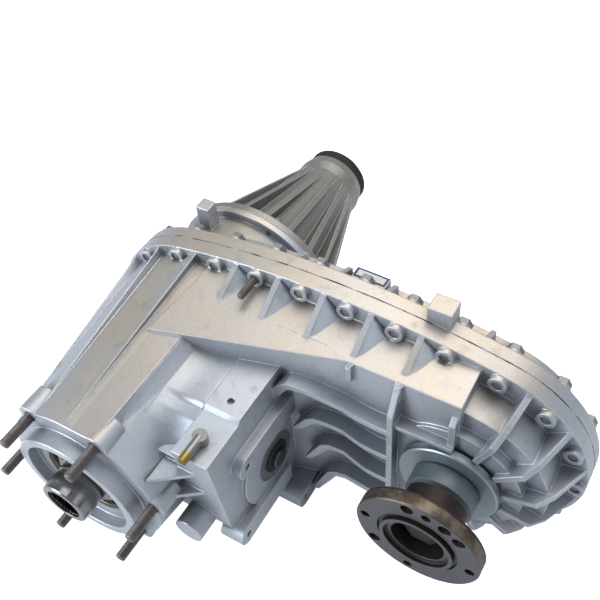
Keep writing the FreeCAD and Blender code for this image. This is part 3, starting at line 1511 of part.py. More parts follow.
PARTS = {}
register([front_case(), rear_case(), tail_housing()])
register([annulus_gear()] + planet_gears() + carrier_pieces())
register([input_gear(), input_balls(), adapter_studs()])
register(
    ball_bearing("input_bearing", d.input_bearing_radius, d.input_journal_radius, -2, d.input_bearing_width)
)
register([main_shaft(), mode_hub(), chain(), tone_wheel()] + oil_pump())
register([range_sleeve()])
register(
    [grooved_sleeve("mode_sleeve", d.mode_hub_radius + d.running_gap, d.mode_sleeve_y, d.mode_sleeve_width)]
)
register([drive_sprocket(), sprocket("driven_sprocket", d.output_shaft_radius + 1, d.centre_distance)])
register(
    ball_bearing(
        "rear_bearing", d.rear_bearing_radius, d.shaft_radius, d.rear_bearing_y, d.rear_bearing_width
    )
)
register(tail_pieces())
register([front_output_shaft(), output_flange(), dust_shield(), output_seal()] + flange_nut())
register(ball_bearing("front_output_bearing", d.output_bearing_radius, d.output_shaft_radius + 1,
                      d.output_bearing_y, d.output_bearing_width, d.centre_distance))
register([shift_rail(), fork("range_fork", d.range_sleeve_y + d.range_sleeve_width / 2, 14)])
register([fork("mode_fork", d.mode_sleeve_y + d.mode_sleeve_width / 2, 18)])
register(sector_pieces())
register([case_bolts(), tail_bolts(), vent_tube(), flange_stud(), output_rear_bearing()])
register(plugs() + snap_rings() + sump_pieces())

doc.recompute()


def check_document():
    """Stops if any object failed or any piece has no sound solid."""
    for item in doc.Objects:
        if "Invalid" in item.State or "Error" in item.State:
            raise RuntimeError(f"{item.Label} did not build")
    for label, item in PARTS.items():
        if item.Shape.isNull() or not item.Shape.isValid() or item.Shape.Volume <= 0:
            raise RuntimeError(f"{label} has no sound solid")


check_document()
os.makedirs("parts", exist_ok=True)
for label, item in PARTS.items():
    item.Shape.exportStep(f"parts/{label}.step")
    print(f"{label}: {len(item.Shape.Solids)} solid(s), {item.Shape.Volume / 1000:.1f} cm3")
print(f"{len(PARTS)} nodes")
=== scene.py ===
# %% [markdown]
# # A used transfer case, dressed for its portrait
# The solids of the case are finished already, at their real size. This lesson gives them their looks:
# blasted aluminium castings, turned and rusty steel, black rubber, and the few surfaces that only a
# close look shows, such as screw threads and the sealant that was squeezed out of the joint.

# %% The frame
import bpy
import json
import math
import numpy as np
from mathutils import Matrix, Vector


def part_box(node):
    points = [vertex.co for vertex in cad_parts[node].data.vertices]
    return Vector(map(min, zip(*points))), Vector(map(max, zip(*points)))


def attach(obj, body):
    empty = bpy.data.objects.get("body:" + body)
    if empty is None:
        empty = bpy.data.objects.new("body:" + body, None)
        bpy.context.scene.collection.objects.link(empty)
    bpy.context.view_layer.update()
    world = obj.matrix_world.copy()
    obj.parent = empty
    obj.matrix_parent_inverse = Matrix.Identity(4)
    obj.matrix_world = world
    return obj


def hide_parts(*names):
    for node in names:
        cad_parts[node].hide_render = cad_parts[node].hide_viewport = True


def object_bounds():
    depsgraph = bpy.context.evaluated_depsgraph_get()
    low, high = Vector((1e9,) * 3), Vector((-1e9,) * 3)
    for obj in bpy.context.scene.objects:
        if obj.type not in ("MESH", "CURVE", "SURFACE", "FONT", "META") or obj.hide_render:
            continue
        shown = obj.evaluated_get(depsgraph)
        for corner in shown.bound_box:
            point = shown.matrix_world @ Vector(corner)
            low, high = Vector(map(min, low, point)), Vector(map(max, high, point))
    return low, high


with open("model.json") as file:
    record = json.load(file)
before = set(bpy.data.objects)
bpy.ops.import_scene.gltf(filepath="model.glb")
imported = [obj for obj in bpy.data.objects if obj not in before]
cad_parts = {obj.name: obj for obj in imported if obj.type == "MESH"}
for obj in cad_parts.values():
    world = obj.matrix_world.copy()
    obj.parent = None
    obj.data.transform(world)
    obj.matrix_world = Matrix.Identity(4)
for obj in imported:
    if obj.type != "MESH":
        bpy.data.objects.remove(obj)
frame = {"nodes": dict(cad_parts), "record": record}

cad_low, cad_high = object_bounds()
print("nodes:", len(frame["nodes"]), "box:", [round(v, 3) for v in (*cad_low, *cad_high)])

# %% [markdown]
# ## Where the camera stands
# The picture was taken from above and from the gearbox side. The camera is placed by its compass
# angle, its height angle and a small roll, because those three can be read from the lines of the
# casting, and they are easier to correct by hand than a matrix.

# %% Camera
CAMERA_PLACE = Vector((0.35803, -0.18379, 0.58160))
CAMERA_TURN = math.radians(34.96)
CAMERA_HEIGHT = math.radians(47.91)
CAMERA_ROLL = math.radians(-5.78)
FOCAL_PIXELS = 814.3
IMAGE_PIXELS = 600
SENSOR_MM = 36


def camera_axes(turn, height, roll):
    """Right, up and back directions: the view is turned about Z, tipped down, then rolled."""
    level = math.cos(height)
    back = Vector((math.sin(turn) * level, -math.cos(turn) * level, math.sin(height)))
    right = Vector((math.cos(turn), math.sin(turn), 0))
    up = back.cross(right)
    rolled_right = right * math.cos(roll) + up * math.sin(roll)
    rolled_up = up * math.cos(roll) - right * math.sin(roll)
    return rolled_right, rolled_up, back


def add_camera():
    """A camera at its place, with the lens that the pixels of the picture give."""
    lens = bpy.data.cameras.new("camera")
    lens.sensor_width = SENSOR_MM
    lens.lens = FOCAL_PIXELS / IMAGE_PIXELS * SENSOR_MM
    lens.clip_start = 0.01
    lens.clip_end = 20
    camera = bpy.data.objects.new("camera", lens)
    axes = Matrix(camera_axes(CAMERA_TURN, CAMERA_HEIGHT, CAMERA_ROLL)).transposed()
    camera.matrix_world = Matrix.Translation(CAMERA_PLACE) @ axes.to_4x4()
    bpy.context.scene.collection.objects.link(camera)
    bpy.context.scene.camera = camera
    return camera


print("lens:", round(add_camera().data.lens, 1), "mm")

# %% [markdown]
# ## Sums on shader sockets
# A finish is a handful of sums: a noise times a strength, one minus a mask, a mix of two colours.
# Writing them as Python expressions keeps them readable. The class below wraps one output of a
# shader node, and each operator adds one Math node to the material.

# %% A number in a shader
class Number:
    """One output socket that takes part in sums."""

    def __init__(self, paint, socket):
        self.paint = paint
        self.socket = socket

    def math(self, operation, first, second=0.0):
        return self.paint.node("ShaderNodeMath", {"operation": operation}, {0: first, 1: second})("Value")

    def __add__(self, other):
        return self.math("ADD", self, other)

    def __radd__(self, other):
        return self.math("ADD", other, self)

    def __sub__(self, other):
        return self.math("SUBTRACT", self, other)

    def __rsub__(self, other):
        return self.math("SUBTRACT", other, self)

    def __mul__(self, other):
        return self.math("MULTIPLY", self, other)

    def __rmul__(self, other):
        return self.math("MULTIPLY", other, self)

    def __pow__(self, other):
        return self.math("POWER", self, other)

    def __abs__(self):
        return self.math("ABSOLUTE", self)

    def above(self, level, soft):
        """0 below level, 1 above level + soft, and a smooth ramp between."""
        settings = {"interpolation_type": "SMOOTHSTEP"}
        sockets = {"Value": self, "From Min": level, "From Max": level + soft}
        return self.paint.node("ShaderNodeMapRange", settings, sockets)("Result")

    def below(self, level, soft):
        """1 below level and 0 above level + soft."""
        return 1 - self.above(level, soft)


print("sums ready: + - * ** abs above below")

# %% [markdown]
# ## A material under construction
# One method makes every node. The settings come first, because some of them, such as the operation of a
# Math node, change which sockets the node has. The other methods are the few things that all finishes here
# need: a place on the piece, a noise of a known size, a mix of colours, a rounded edge with its mask for
# wear and painted highlight, a corner mask for painted shade and a bump.

# %% The paint pot
NODE_SAMPLES = 6
EDGE_BEND, EDGE_SOFT = 0.02, 0.22
# A Mix node has an A, a B and a Result for numbers, for vectors and for colours: these are the last.
MIX_FACTOR, MIX_A, MIX_B, MIX_RESULT = 0, 6, 7, 2


class Paint:
    """Builds one material round a Principled shader."""

    def __init__(self, name, **settings):
        self.material = bpy.data.materials.new(name)
        self.material.use_nodes = True
        self.tree = self.material.node_tree
        self.tree.nodes.clear()
        self.shader = self.tree.nodes.new("ShaderNodeBsdfPrincipled")
        output = self.tree.nodes.new("ShaderNodeOutputMaterial")
        self.tree.links.new(self.shader.outputs["BSDF"], output.inputs["Surface"])
        for socket, value in settings.items():
            self.shader.inputs[socket].default_value = value

    def node(self, kind, settings, sockets):
        """Adds a node: its settings first, then its sockets. Returns a function that picks an output."""
        node = self.tree.nodes.new(kind)
        for name, value in settings.items():
            setattr(node, name, value)
        for key, value in sockets.items():
            self.feed(node.inputs[key], value)
        return lambda key: Number(self, node.outputs[key])

    def feed(self, socket, value):
        """Links a Number, or writes a plain value or a colour on the socket."""
        if isinstance(value, Number):
            self.tree.links.new(value.socket, socket)
        elif isinstance(value, tuple) and len(value) == 3 and socket.type == "RGBA":
            socket.default_value = (*value, 1)
        else:
            socket.default_value = value

    def split(self, vector):
        """X, Y and Z of a vector, as three numbers."""
        parts = self.node("ShaderNodeSeparateXYZ", {}, {"Vector": vector})
        return parts("X"), parts("Y"), parts("Z")

    def along(self):
        """X, Y and Z of the point, in metres."""
        return self.split(self.node("ShaderNodeTexCoord", {}, {})("Object"))

    def facing(self):
        """The piece's own normal, as three numbers."""
        return self.split(self.node("ShaderNodeTexCoord", {}, {})("Normal"))

    def place(self, size):
        """Object coordinates, counted in lumps of size metres."""
        spot = self.node("ShaderNodeTexCoord", {}, {})("Object")
        scale = (1 / size, 1 / size, 1 / size)
        return self.node("ShaderNodeVectorMath", {"operation": "MULTIPLY"}, {0: spot, 1: scale})("Vector")

    def noise(self, size, detail=4.0, rough=0.55):
        """Noise whose lumps are about size metres across, from 0 to 1."""
        sockets = {"Vector": self.place(size), "Scale": 1.0, "Detail": detail, "Roughness": rough}
        return self.node("ShaderNodeTexNoise", {}, sockets)("Fac")

    def mix(self, mask, low, high):
        """The colour low where mask is 0 and high where it is 1."""
        settings = {"data_type": "RGBA", "clamp_factor": True}
        sockets = {MIX_FACTOR: mask, MIX_A: low, MIX_B: high}
        return self.node("ShaderNodeMix", settings, sockets)(MIX_RESULT)

    def rounded_edge(self, radius):
        """A rounded normal, and a mask that is 1 where the rounding bends it most."""
        rounded = self.node("ShaderNodeBevel", {"samples": NODE_SAMPLES}, {"Radius": radius})("Normal")
        true_normal = self.node("ShaderNodeNewGeometry", {}, {})("Normal")
        sockets = {0: rounded, 1: true_normal}
        same = self.node("ShaderNodeVectorMath", {"operation": "DOT_PRODUCT"}, sockets)("Value")
        return rounded, (1 - same).above(EDGE_BEND, EDGE_SOFT)

    # The finishes use this mask to darken corners with painted shade.
    def crevice(self, reach):
        """0 in the open and towards 1 deep in a corner."""
        settings = {"samples": NODE_SAMPLES, "only_local": False}
        return 1 - self.node("ShaderNodeAmbientOcclusion", settings, {"Distance": reach})("AO")

    def bump(self, height, depth, normal=None):
        """Dents that are depth metres deep where height is 1, on top of another normal if one is given."""
        sockets = {"Height": height, "Distance": depth, "Strength": 1.0}
        if normal is not None:
            sockets["Normal"] = normal
        return self.node("ShaderNodeBump", {}, sockets)("Normal")

    def finish(self, **sockets):
        """Connects the finished values to the shader."""
        for name, value in sockets.items():
            self.feed(self.shader.inputs[name.replace("_", " ")], value)
        return self.material


print("paint pot ready")

# %% [markdown]
# ## Blasted aluminium
# The castings are die cast and then blasted with fine glass beads. The skin is an even, soft grey with no
# mirror in it, edges turn bright, partly from wear where they were rubbed and partly as painted highlight,
# and the corners are darkened with painted shade.
# Years of oil and heat leave faint warm clouds, and whatever faces up near the top gets a thin warm tint
# that is painted light from the warm lamp and surroundings above. Rounded edges come from a Bevel node, so
# that each rib has the bright line that a real cast edge shows, and no edge of the solids has to be cut
# for it.

# %% Cast aluminium
CAST_GREY = (0.51, 0.54, 0.585)
CAST_WARM = (0.52, 0.47, 0.40)
CAST_BRIGHT = (0.92, 0.92, 0.93)
PAINTED_TOP_LIGHT = (0.57, 0.49, 0.385)
GRIME_AND_SHADE = (0.068, 0.073, 0.082)
TOP_LIGHT_HEIGHT = 0.062
CAST_EDGE_RADIUS = 0.0016
CORNER_REACH = 0.030
CLOUD_SIZE, STAIN_SIZE, DIMPLE_SIZE = 0.060, 0.018, 0.006
SPECKLE_SIZE, GRAIN_SIZE, GRAIN_DEPTH = 0.0016, 0.0011, 0.00016


def cast_aluminium(name, grey=CAST_GREY, warm=CAST_WARM, top_light_tint=PAINTED_TOP_LIGHT, shade_depth=0.62):
    """Grey, then warm clouds, painted warm light on upward faces, stains, bright speckle, painted shade in
    corners, and edges brightened by wear and painted highlight.
    """
    paint = Paint(name, Metallic=0.65)
    rounded, edge = paint.rounded_edge(CAST_EDGE_RADIUS)
    clouds = paint.noise(CLOUD_SIZE, detail=5).above(0.42, 0.3)
    speckle = paint.noise(SPECKLE_SIZE, detail=2) - 0.5
    stain = paint.noise(STAIN_SIZE, detail=6, rough=0.65).above(0.55, 0.16)
    _, _, upward = paint.facing()
    _, _, height = paint.along()
    # Painted light: upward faces near the top are tinted warm, as the lamp and surroundings above would
    # light them.
    top_light = upward.above(0.80, 0.17) * height.above(TOP_LIGHT_HEIGHT, 0.014) * (0.7 + clouds * 0.3)
    colour = paint.mix(clouds * 0.15, grey, warm)
    colour = paint.mix(top_light, colour, top_light_tint)
    colour = paint.mix(stain * 0.22, colour, GRIME_AND_SHADE)
    colour = paint.mix(speckle * 0.5 + 0.05, colour, CAST_BRIGHT)
    # Painted shade: corners are darkened by the occlusion mask.
    colour = paint.mix(paint.crevice(CORNER_REACH) ** 1.15 * shade_depth, colour, GRIME_AND_SHADE)
    # Edges turn bright: partly wear, partly a painted highlight.
    colour = paint.mix(edge * 0.85, colour, CAST_BRIGHT)
    roughness = 0.46 - edge * 0.12 + stain * 0.08 + speckle * 0.12
    grain = paint.noise(GRAIN_SIZE, detail=3) + paint.noise(DIMPLE_SIZE, detail=2) * 0.8
    bump = paint.bump(grain, GRAIN_DEPTH, rounded)
    return paint.finish(Base_Color=colour, Roughness=roughness, Normal=bump)


case_finish = cast_aluminium("blasted_case_aluminium")
print("made", case_finish.name)

# %% [markdown]
# ### The tail housing
# The tail is a casting of its own and looks older than the rest. Its skin is the same, but darker and
# browner all over and with more painted shade in its corners, so the same function makes it from other
# colours.

# %% Tail housing
TAIL_GREY = (0.30, 0.285, 0.25)
TAIL_WARM = (0.27, 0.245, 0.205)
TAIL_TOP_LIGHT = (0.31, 0.29, 0.25)
TAIL_SHADE_DEPTH = 0.72

tail_finish = cast_aluminium("aged_tail_aluminium", TAIL_GREY, TAIL_WARM, TAIL_TOP_LIGHT, TAIL_SHADE_DEPTH)
print("made", tail_finish.name)

# %% [markdown]
# ## Turned steel
# The input stub is turned bright, and the shafts and bearings inside wear the same finish in other
# greys. Turned steel keeps fine rings from the tool, so its bump runs round the main shaft: a noise
# that reads only the distance from the shaft and the place along it makes them.

# %% Turned steel
MAIN_X = 0.0
RINGS_PER_METRE = 2600
RING_DEPTH = 0.00002
TURNED_EDGE_RADIUS = 0.0006
TURNED_CORNER_REACH = 0.008
BLOOM_SIZE = 0.012
STUB_STEEL, OILED_STEEL = (0.30, 0.29, 0.28), (0.50, 0.485, 0.465)
STEEL_RUBBED = (0.75, 0.74, 0.72)
RUST_LIGHT = (0.195, 0.160, 0.122)


def ring_distance(paint, centre_x):
    """Distance from a shaft that is parallel to Y: the root of x squared plus z squared, in metres."""
    x, _, z = paint.along()
    across = x - centre_x
    return (across * across + z * z) ** 0.5


def turned_steel(name, tint, roughness, age=0.25):
    """Rings along the radius and along Y, with a brown bloom of age."""
    paint = Paint(name, Metallic=1.0)
    rounded, edge = paint.rounded_edge(TURNED_EDGE_RADIUS)
    _, y, _ = paint.along()
    places = {"X": ring_distance(paint, MAIN_X) * RINGS_PER_METRE, "Y": y * RINGS_PER_METRE}
    rings = paint.node("ShaderNodeCombineXYZ", {}, places)("Vector")
    lines = paint.node("ShaderNodeTexNoise", {}, {"Vector": rings, "Scale": 1.0, "Detail": 2.0})("Fac")
    bloom = paint.noise(BLOOM_SIZE, detail=6, rough=0.7).above(0.42, 0.25)
    colour = paint.mix(bloom * age, tint, RUST_LIGHT)
    # Painted shade: corners are darkened by the occlusion mask.
    colour = paint.mix(paint.crevice(TURNED_CORNER_REACH) * 0.6, colour, GRIME_AND_SHADE)
    colour = paint.mix(edge * 0.4, colour, STEEL_RUBBED)
    rough = roughness + lines * 0.10 + bloom * (0.7 * age)
    return paint.finish(Base_Color=colour, Roughness=rough, Normal=paint.bump(lines, RING_DEPTH, rounded))


input_finish = turned_steel("bright_turned_steel", STUB_STEEL, 0.14, age=0.12)
oiled_finish = turned_steel("oiled_steel", OILED_STEEL, 0.32)
print("made", input_finish.name, "and", oiled_finish.name)

# %% [markdown]
# ### The drive flange
# Its front face was ground and stays grey. The rim and the hub were never protected and carry an even
# brown rust, lighter where hands and straps rubbed it, and the pocket round the nut is painted nearly
# black as painted shade. Masks pick these places by where they are: the face looks towards -Y and lies in
# front of the rim, the pocket is near the shaft, and the band at the back is a bare bluish grey.

# %% Drive flange
FACE_Y, RIM_Y, BAND_Y = 0.0795, 0.0850, 0.1125
POCKET_RADIUS = 0.033
FLANGE_EDGE_RADIUS = 0.0008
FLANGE_CORNER_REACH = 0.012
BLOTCH_SIZE, PIT_SIZE, PIT_DEPTH = 0.016, 0.0022, 0.00010
RUST = (0.075, 0.052, 0.036)
RUST_DUSTY = (0.20, 0.18, 0.16)
HUB_BROWN = (0.050, 0.036, 0.032)
HUB_DUSTY = (0.085, 0.072, 0.066)
BAND_GREY = (0.19, 0.225, 0.24)
POCKET_SHADE = (0.040, 0.034, 0.033)
GROUND_GREY = (0.115, 0.115, 0.124)
GROUND_PALE = (0.165, 0.158, 0.165)
FLANGE_RUBBED = (0.38, 0.36, 0.32)
CORNER_SHADE = (0.03, 0.025, 0.022)

front_low, front_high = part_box("front_output_shaft")
front_x = (front_low.x + front_high.x) / 2


def flange_steel():
    """Rust by place with painted shade in the pocket, then the ground face, rubbed edges and painted shade
    in the corners.
    """
    paint = Paint("rusty_flange_steel", Metallic=0.75)
    rounded, edge = paint.rounded_edge(FLANGE_EDGE_RADIUS)
    _, facing_y, _ = paint.facing()
    _, y, _ = paint.along()
    face = facing_y.below(-0.85, 0.25) * y.below(FACE_Y, 0.002)
    rim = y.below(RIM_Y, 0.001)
    pocket = ring_distance(paint, front_x).below(POCKET_RADIUS, 0.001) * rim
    blotch = paint.noise(BLOTCH_SIZE, detail=7, rough=0.7)
    pits = paint.noise(PIT_SIZE, detail=4, rough=0.7)
    hub_rust = paint.mix(blotch.above(0.50, 0.22) * 0.6, HUB_BROWN, HUB_DUSTY)
    rim_rust = paint.mix(blotch.above(0.40, 0.25), RUST, RUST_LIGHT)
    rust = paint.mix(rim, hub_rust, rim_rust)
    rust = paint.mix(y.above(BAND_Y, 0.001), rust, BAND_GREY)
    # Painted shade: the pocket round the nut is made nearly black.
    rust = paint.mix(pocket * 0.85, rust, POCKET_SHADE)
    rust = paint.mix(pits.above(0.62, 0.1) * 0.3, rust, RUST_DUSTY)
    ground = paint.mix(blotch.above(0.45, 0.3) * 0.3, GROUND_GREY, GROUND_PALE)
    colour = paint.mix(face, rust, ground)
    colour = paint.mix(edge * 0.5, colour, FLANGE_RUBBED)
    # Painted shade: corners are darkened by the occlusion mask.
    colour = paint.mix(paint.crevice(FLANGE_CORNER_REACH) * 0.8, colour, CORNER_SHADE)
    rough = 0.42 + pits * 0.2 - face * 0.16
    bump = paint.bump(pits + blotch * 0.6, PIT_DEPTH, rounded)
    return paint.finish(Base_Color=colour, Roughness=rough, Normal=bump)


flange_finish = flange_steel()
print("front output at x =", round(front_x, 3))

# %% [markdown]
# ## Zinc and dark steel
# Small pieces take simple finishes, but none of them is one flat colour. Zinc has a spangle, the
# crystals that grow as it sets, and a Voronoi texture has the same cells. Bolts and studs have a dull
# bloom of phosphate or rust, which one noise makes.

# %% Zinc and dark steel
SPANGLE_SIZE = 1 / 160
ZINC_EDGE_RADIUS, DARK_EDGE_RADIUS = 0.0005, 0.0003
ZINC_CLOUD_SIZE, RUST_PATCH_SIZE = 0.010, 0.004
ZINC = (0.36, 0.41, 0.43)
ZINC_SPANGLE = (0.36, 0.40, 0.42)
ZINC_STAIN = (0.30, 0.26, 0.2)
ZINC_RUBBED = (0.78, 0.8, 0.8)
STUD_BLACK, POCKET_DARK, DARK_RUBBED = (0.17, 0.145, 0.14), (0.050, 0.047, 0.047), (0.30, 0.27, 0.25)
DENT_DEPTH = 0.00006


def zinc_plate(name, tint=ZINC):
    """A tint with a spangle, warm stains and bright edges."""
    paint = Paint(name, Metallic=0.8)
    rounded, edge = paint.rounded_edge(ZINC_EDGE_RADIUS)
    cells = {"Vector": paint.place(SPANGLE_SIZE), "Scale": 1.0}
    spangle = paint.node("ShaderNodeTexVoronoi", {}, cells)("Distance")
    cloud = paint.noise(ZINC_CLOUD_SIZE, detail=5)
    colour = paint.mix(spangle * 0.5, tint, ZINC_SPANGLE)
    colour = paint.mix(cloud.above(0.6, 0.2) * 0.4, colour, ZINC_STAIN)
    colour = paint.mix(edge * 0.5, colour, ZINC_RUBBED)
    bump = paint.bump(cloud, DENT_DEPTH, rounded)
    return paint.finish(Base_Color=colour, Roughness=0.3 + cloud * 0.2, Normal=bump)


def dark_steel(name, tint, rust):
    """A tint with patches of rust and rubbed edges."""
    paint = Paint(name, Metallic=0.7)
    rounded, edge = paint.rounded_edge(DARK_EDGE_RADIUS)
    patch = paint.noise(RUST_PATCH_SIZE, detail=5)
    colour = paint.mix(patch.above(0.5, 0.2) * rust, tint, RUST)
    colour = paint.mix(edge * 0.5, colour, DARK_RUBBED)
    bump = paint.bump(patch, DENT_DEPTH, rounded)
    return paint.finish(Base_Color=colour, Roughness=0.34 + patch * 0.25, Normal=bump)


stud_finish = dark_steel("black_stud_steel", STUD_BLACK, 0.35)
# The pieces in the flange's pocket take a much darker copy of the stud finish: painted shade of the
# pocket.
pocket_finish = dark_steel("pocket_steel", POCKET_DARK, 0.3)
print("made", stud_finish.name, "and", pocket_finish.name)

# %% [markdown]
# ## Rubber and bronze
# Rubber is dark and dull and holds dust, so a soft noise mixes a paler grey into it. The bushings are
# bronze, which goes from red to yellow in slow clouds as it ages. Neither shows much, so one noise
# each is enough.

# %% Rubber and bronze
DUST_SIZE, RUBBER_GRAIN_SIZE, RUBBER_GRAIN_DEPTH = 0.007, 0.0006, 0.00004
BRONZE_CLOUD_SIZE = 0.006
RUBBER_BLACK = (0.012, 0.012, 0.013)
RUBBER_DUST = (0.07, 0.065, 0.06)
BRONZE_RED = (0.50, 0.30, 0.13)
BRONZE_YELLOW = (0.62, 0.42, 0.22)


def rubber():
    """Black with dust and a fine grain."""
    paint = Paint("seal_rubber", Metallic=0.0)
    dust = paint.noise(DUST_SIZE, detail=6)
    colour = paint.mix(dust.above(0.5, 0.3) * 0.35, RUBBER_BLACK, RUBBER_DUST)
    grain = paint.bump(paint.noise(RUBBER_GRAIN_SIZE, detail=2), RUBBER_GRAIN_DEPTH)
    return paint.finish(Base_Color=colour, Roughness=0.62 + dust * 0.2, Normal=grain)


def bronze():
    """Two bronzes in clouds."""
    paint = Paint("bushing_bronze", Metallic=1.0)
    cloud = paint.noise(BRONZE_CLOUD_SIZE, detail=5)
    colour = paint.mix(cloud, BRONZE_RED, BRONZE_YELLOW)
    return paint.finish(Base_Color=colour, Roughness=0.3 + cloud * 0.2)


rubber_finish, bronze_finish = rubber(), bronze()
print("made", rubber_finish.name, "and", bronze_finish.name)

# %% [markdown]
# ## The vent tube
# The breather is a small zinc tube whose tip was dipped in a yellow passivation. The tip is the part
# that lies nearest the front, so a mask on Y finds it, measured from the tube's own box.

# %% Vent tube
VENT_TIP_LENGTH = 0.006
VENT_CLOUD_SIZE = 0.004
VENT_GREY, VENT_SHADE = (0.33, 0.33, 0.31), (0.22, 0.21, 0.18)
TIP_YELLOW, TIP_BROWN = (0.42, 0.33, 0.07), (0.22, 0.16, 0.04)
VENT_RUBBED = (0.8, 0.79, 0.72)


def vent_zinc():
    """Grey clouds, and yellow ones on the tip."""
    paint = Paint("vent_zinc", Metallic=0.8)
    rounded, edge = paint.rounded_edge(ZINC_EDGE_RADIUS)
    _, y, _ = paint.along()
    tip = y.below(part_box("vent_tube")[0].y + VENT_TIP_LENGTH, 0.003)
    cloud = paint.noise(VENT_CLOUD_SIZE, detail=4)
    colour = paint.mix(cloud * 0.5, VENT_GREY, VENT_SHADE)
    colour = paint.mix(tip, colour, paint.mix(cloud, TIP_YELLOW, TIP_BROWN))
    colour = paint.mix(edge * 0.4, colour, VENT_RUBBED)
    return paint.finish(Base_Color=colour, Roughness=0.28 + cloud * 0.2, Normal=rounded)


vent_finish = vent_zinc()
print("made", vent_finish.name)

# %% [markdown]
# ## Who wears what
# Each solid names the stuff that it is made of, its slot, and the first table has a finish for each
# slot. A few pieces look unlike the others of their stuff, because they are seen close or stand in a
# dark place, and the second table names them. A loop over the record then coats all of them.

# %% Coats for the solids
PHOSPHATE_GREY, MAGNET_BLACK, RETAINER_ZINC = (0.26, 0.26, 0.265), (0.03, 0.03, 0.03), (0.17, 0.175, 0.18)
BEARING_STEEL, CHAIN_STEEL, SECTOR_STEEL = (0.58, 0.55, 0.47), (0.28, 0.27, 0.26), (0.10, 0.10, 0.105)
BY_SLOT = {
    "zinc_plate": zinc_plate("zinc_plate"),
    "dark_steel": stud_finish,
    "bolt_steel": dark_steel("phosphate_bolt_steel", PHOSPHATE_GREY, 0.12),
    "inner_steel": oiled_finish,
    "bearing_steel": turned_steel("bearing_steel", BEARING_STEEL, 0.18),
    "chain_steel": turned_steel("chain_steel", CHAIN_STEEL, 0.35),
    "shaft_steel": turned_steel("sector_shaft_steel", SECTOR_STEEL, 0.30),
    "bronze": bronze_finish,
    "seal_rubber": rubber_finish,
    "magnet_black": dark_steel("ferrite", MAGNET_BLACK, 0.0),
}
BY_NODE = {
    "front_case": case_finish,
    "rear_case": case_finish,
    "oil_pump_housing": case_finish,
    "tail_housing": tail_finish,
    "input_gear": input_finish,
    "output_flange": flange_finish,
    "vent_tube": vent_finish,
    "flange_nut": pocket_finish,
    "flange_washer": pocket_finish,
    "front_output_shaft": pocket_finish,
    "shift_shaft_retainer": zinc_plate("retainer_grey", RETAINER_ZINC),
}


def coat_node(name, material):
    """Gives a node of the frame its finish."""
    slots = frame["nodes"][name].data.materials
    slots.clear()
    slots.append(material)


for part in frame["record"]["subparts"]:
    coat_node(part["node"], BY_NODE.get(part["node"]) or BY_SLOT[part["material_slot"]])

# %% [markdown]
# ## Real screw threads
# A thread is a surface of two numbers: the angle round the rod and the station along it. The radius
# follows a triangle wave whose phase is the station minus one pitch for each turn, so the ridge
# climbs as it goes round. Near the ends the wave fades out, which closes the rod cleanly, and the
# last rows draw in to a small chamfer.

# %% Threaded rods
THREAD_PITCH = 0.0015
THREAD_DEPTH = 0.0007
THREAD_SIDES = 40
THREAD_ROWS_PER_TURN = 7
ROD_CHAMFER = 0.0008


def threaded_rod(x, z, start, end, radius):
    """Rows of points along Y: radius minus depth times a triangle wave of (y / pitch - turn)."""
    rows = int((end - start) / THREAD_PITCH * THREAD_ROWS_PER_TURN) + 2
    y = np.linspace(start, end, rows)[:, None]
    turn = np.linspace(0, 1, THREAD_SIDES, endpoint=False)[None, :]
    wave = np.abs(((y / THREAD_PITCH - turn) % 1.0) * 2 - 1)
    from_end = np.minimum(y - start, end - y)
    fade = np.clip(from_end / (2 * THREAD_PITCH), 0, 1)
    chamfer = np.clip(1 - from_end / ROD_CHAMFER, 0, 1) * ROD_CHAMFER
    r = radius - THREAD_DEPTH * wave * fade - THREAD_DEPTH * (1 - fade) * 0.5 - chamfer
    angle = 2 * np.pi * turn
    return np.stack([x + r * np.cos(angle), y + 0 * turn, z + r * np.sin(angle)], axis=-1)


def rod_faces(rows, sides):
    """Quads between neighbouring rings, and one flat cap on each end, facing out."""
    i, j = np.meshgrid(np.arange(rows - 1), np.arange(sides), indexing="ij")
    k = (j + 1) % sides
    quads = np.stack([i * sides + j, (i + 1) * sides + j, (i + 1) * sides + k, i * sides + k], axis=-1)
    caps = [np.arange(sides).tolist(), (np.arange(sides)[::-1] + (rows - 1) * sides).tolist()]
    return quads.reshape(-1, 4).tolist() + caps


def joined(parts):
    """One list of points and one of faces, from pairs of both: each pair's faces count on."""
    points, faces, first = [], [], 0
    for part_points, part_faces in parts:
        points.append(part_points.reshape(-1, 3))
        faces += [[first + corner for corner in face] for face in part_faces]
        first += len(points[-1])
    return np.concatenate(points), faces


def mesh_piece(name, points, faces, material, body, smooth=True):
    """Makes one piece from point arrays and faces and lets it ride on a body."""
    mesh = bpy.data.meshes.new(name)
    mesh.from_pydata(np.asarray(points).reshape(-1, 3).tolist(), [], faces)
    mesh.materials.append(material)
    mesh.polygons.foreach_set("use_smooth", [smooth] * len(mesh.polygons))
    mesh.update()
    piece = bpy.data.objects.new(name, mesh)
    bpy.context.scene.collection.objects.link(piece)
    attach(piece, body)
    return piece


print("rows on one pitch:", THREAD_ROWS_PER_TURN)

# %% [markdown]
# ### Studs of the gearbox face
# Six studs stick out of the gearbox face. Their places are read from the frame: each is a group of
# points of the node, found by its angle round the main shaft. The new rods keep the real radius and
# length and get their thread, and they take the place of the plain rods.

# %% Adapter studs
STUD_COUNT = 6
STUD_RADIUS = 0.00475


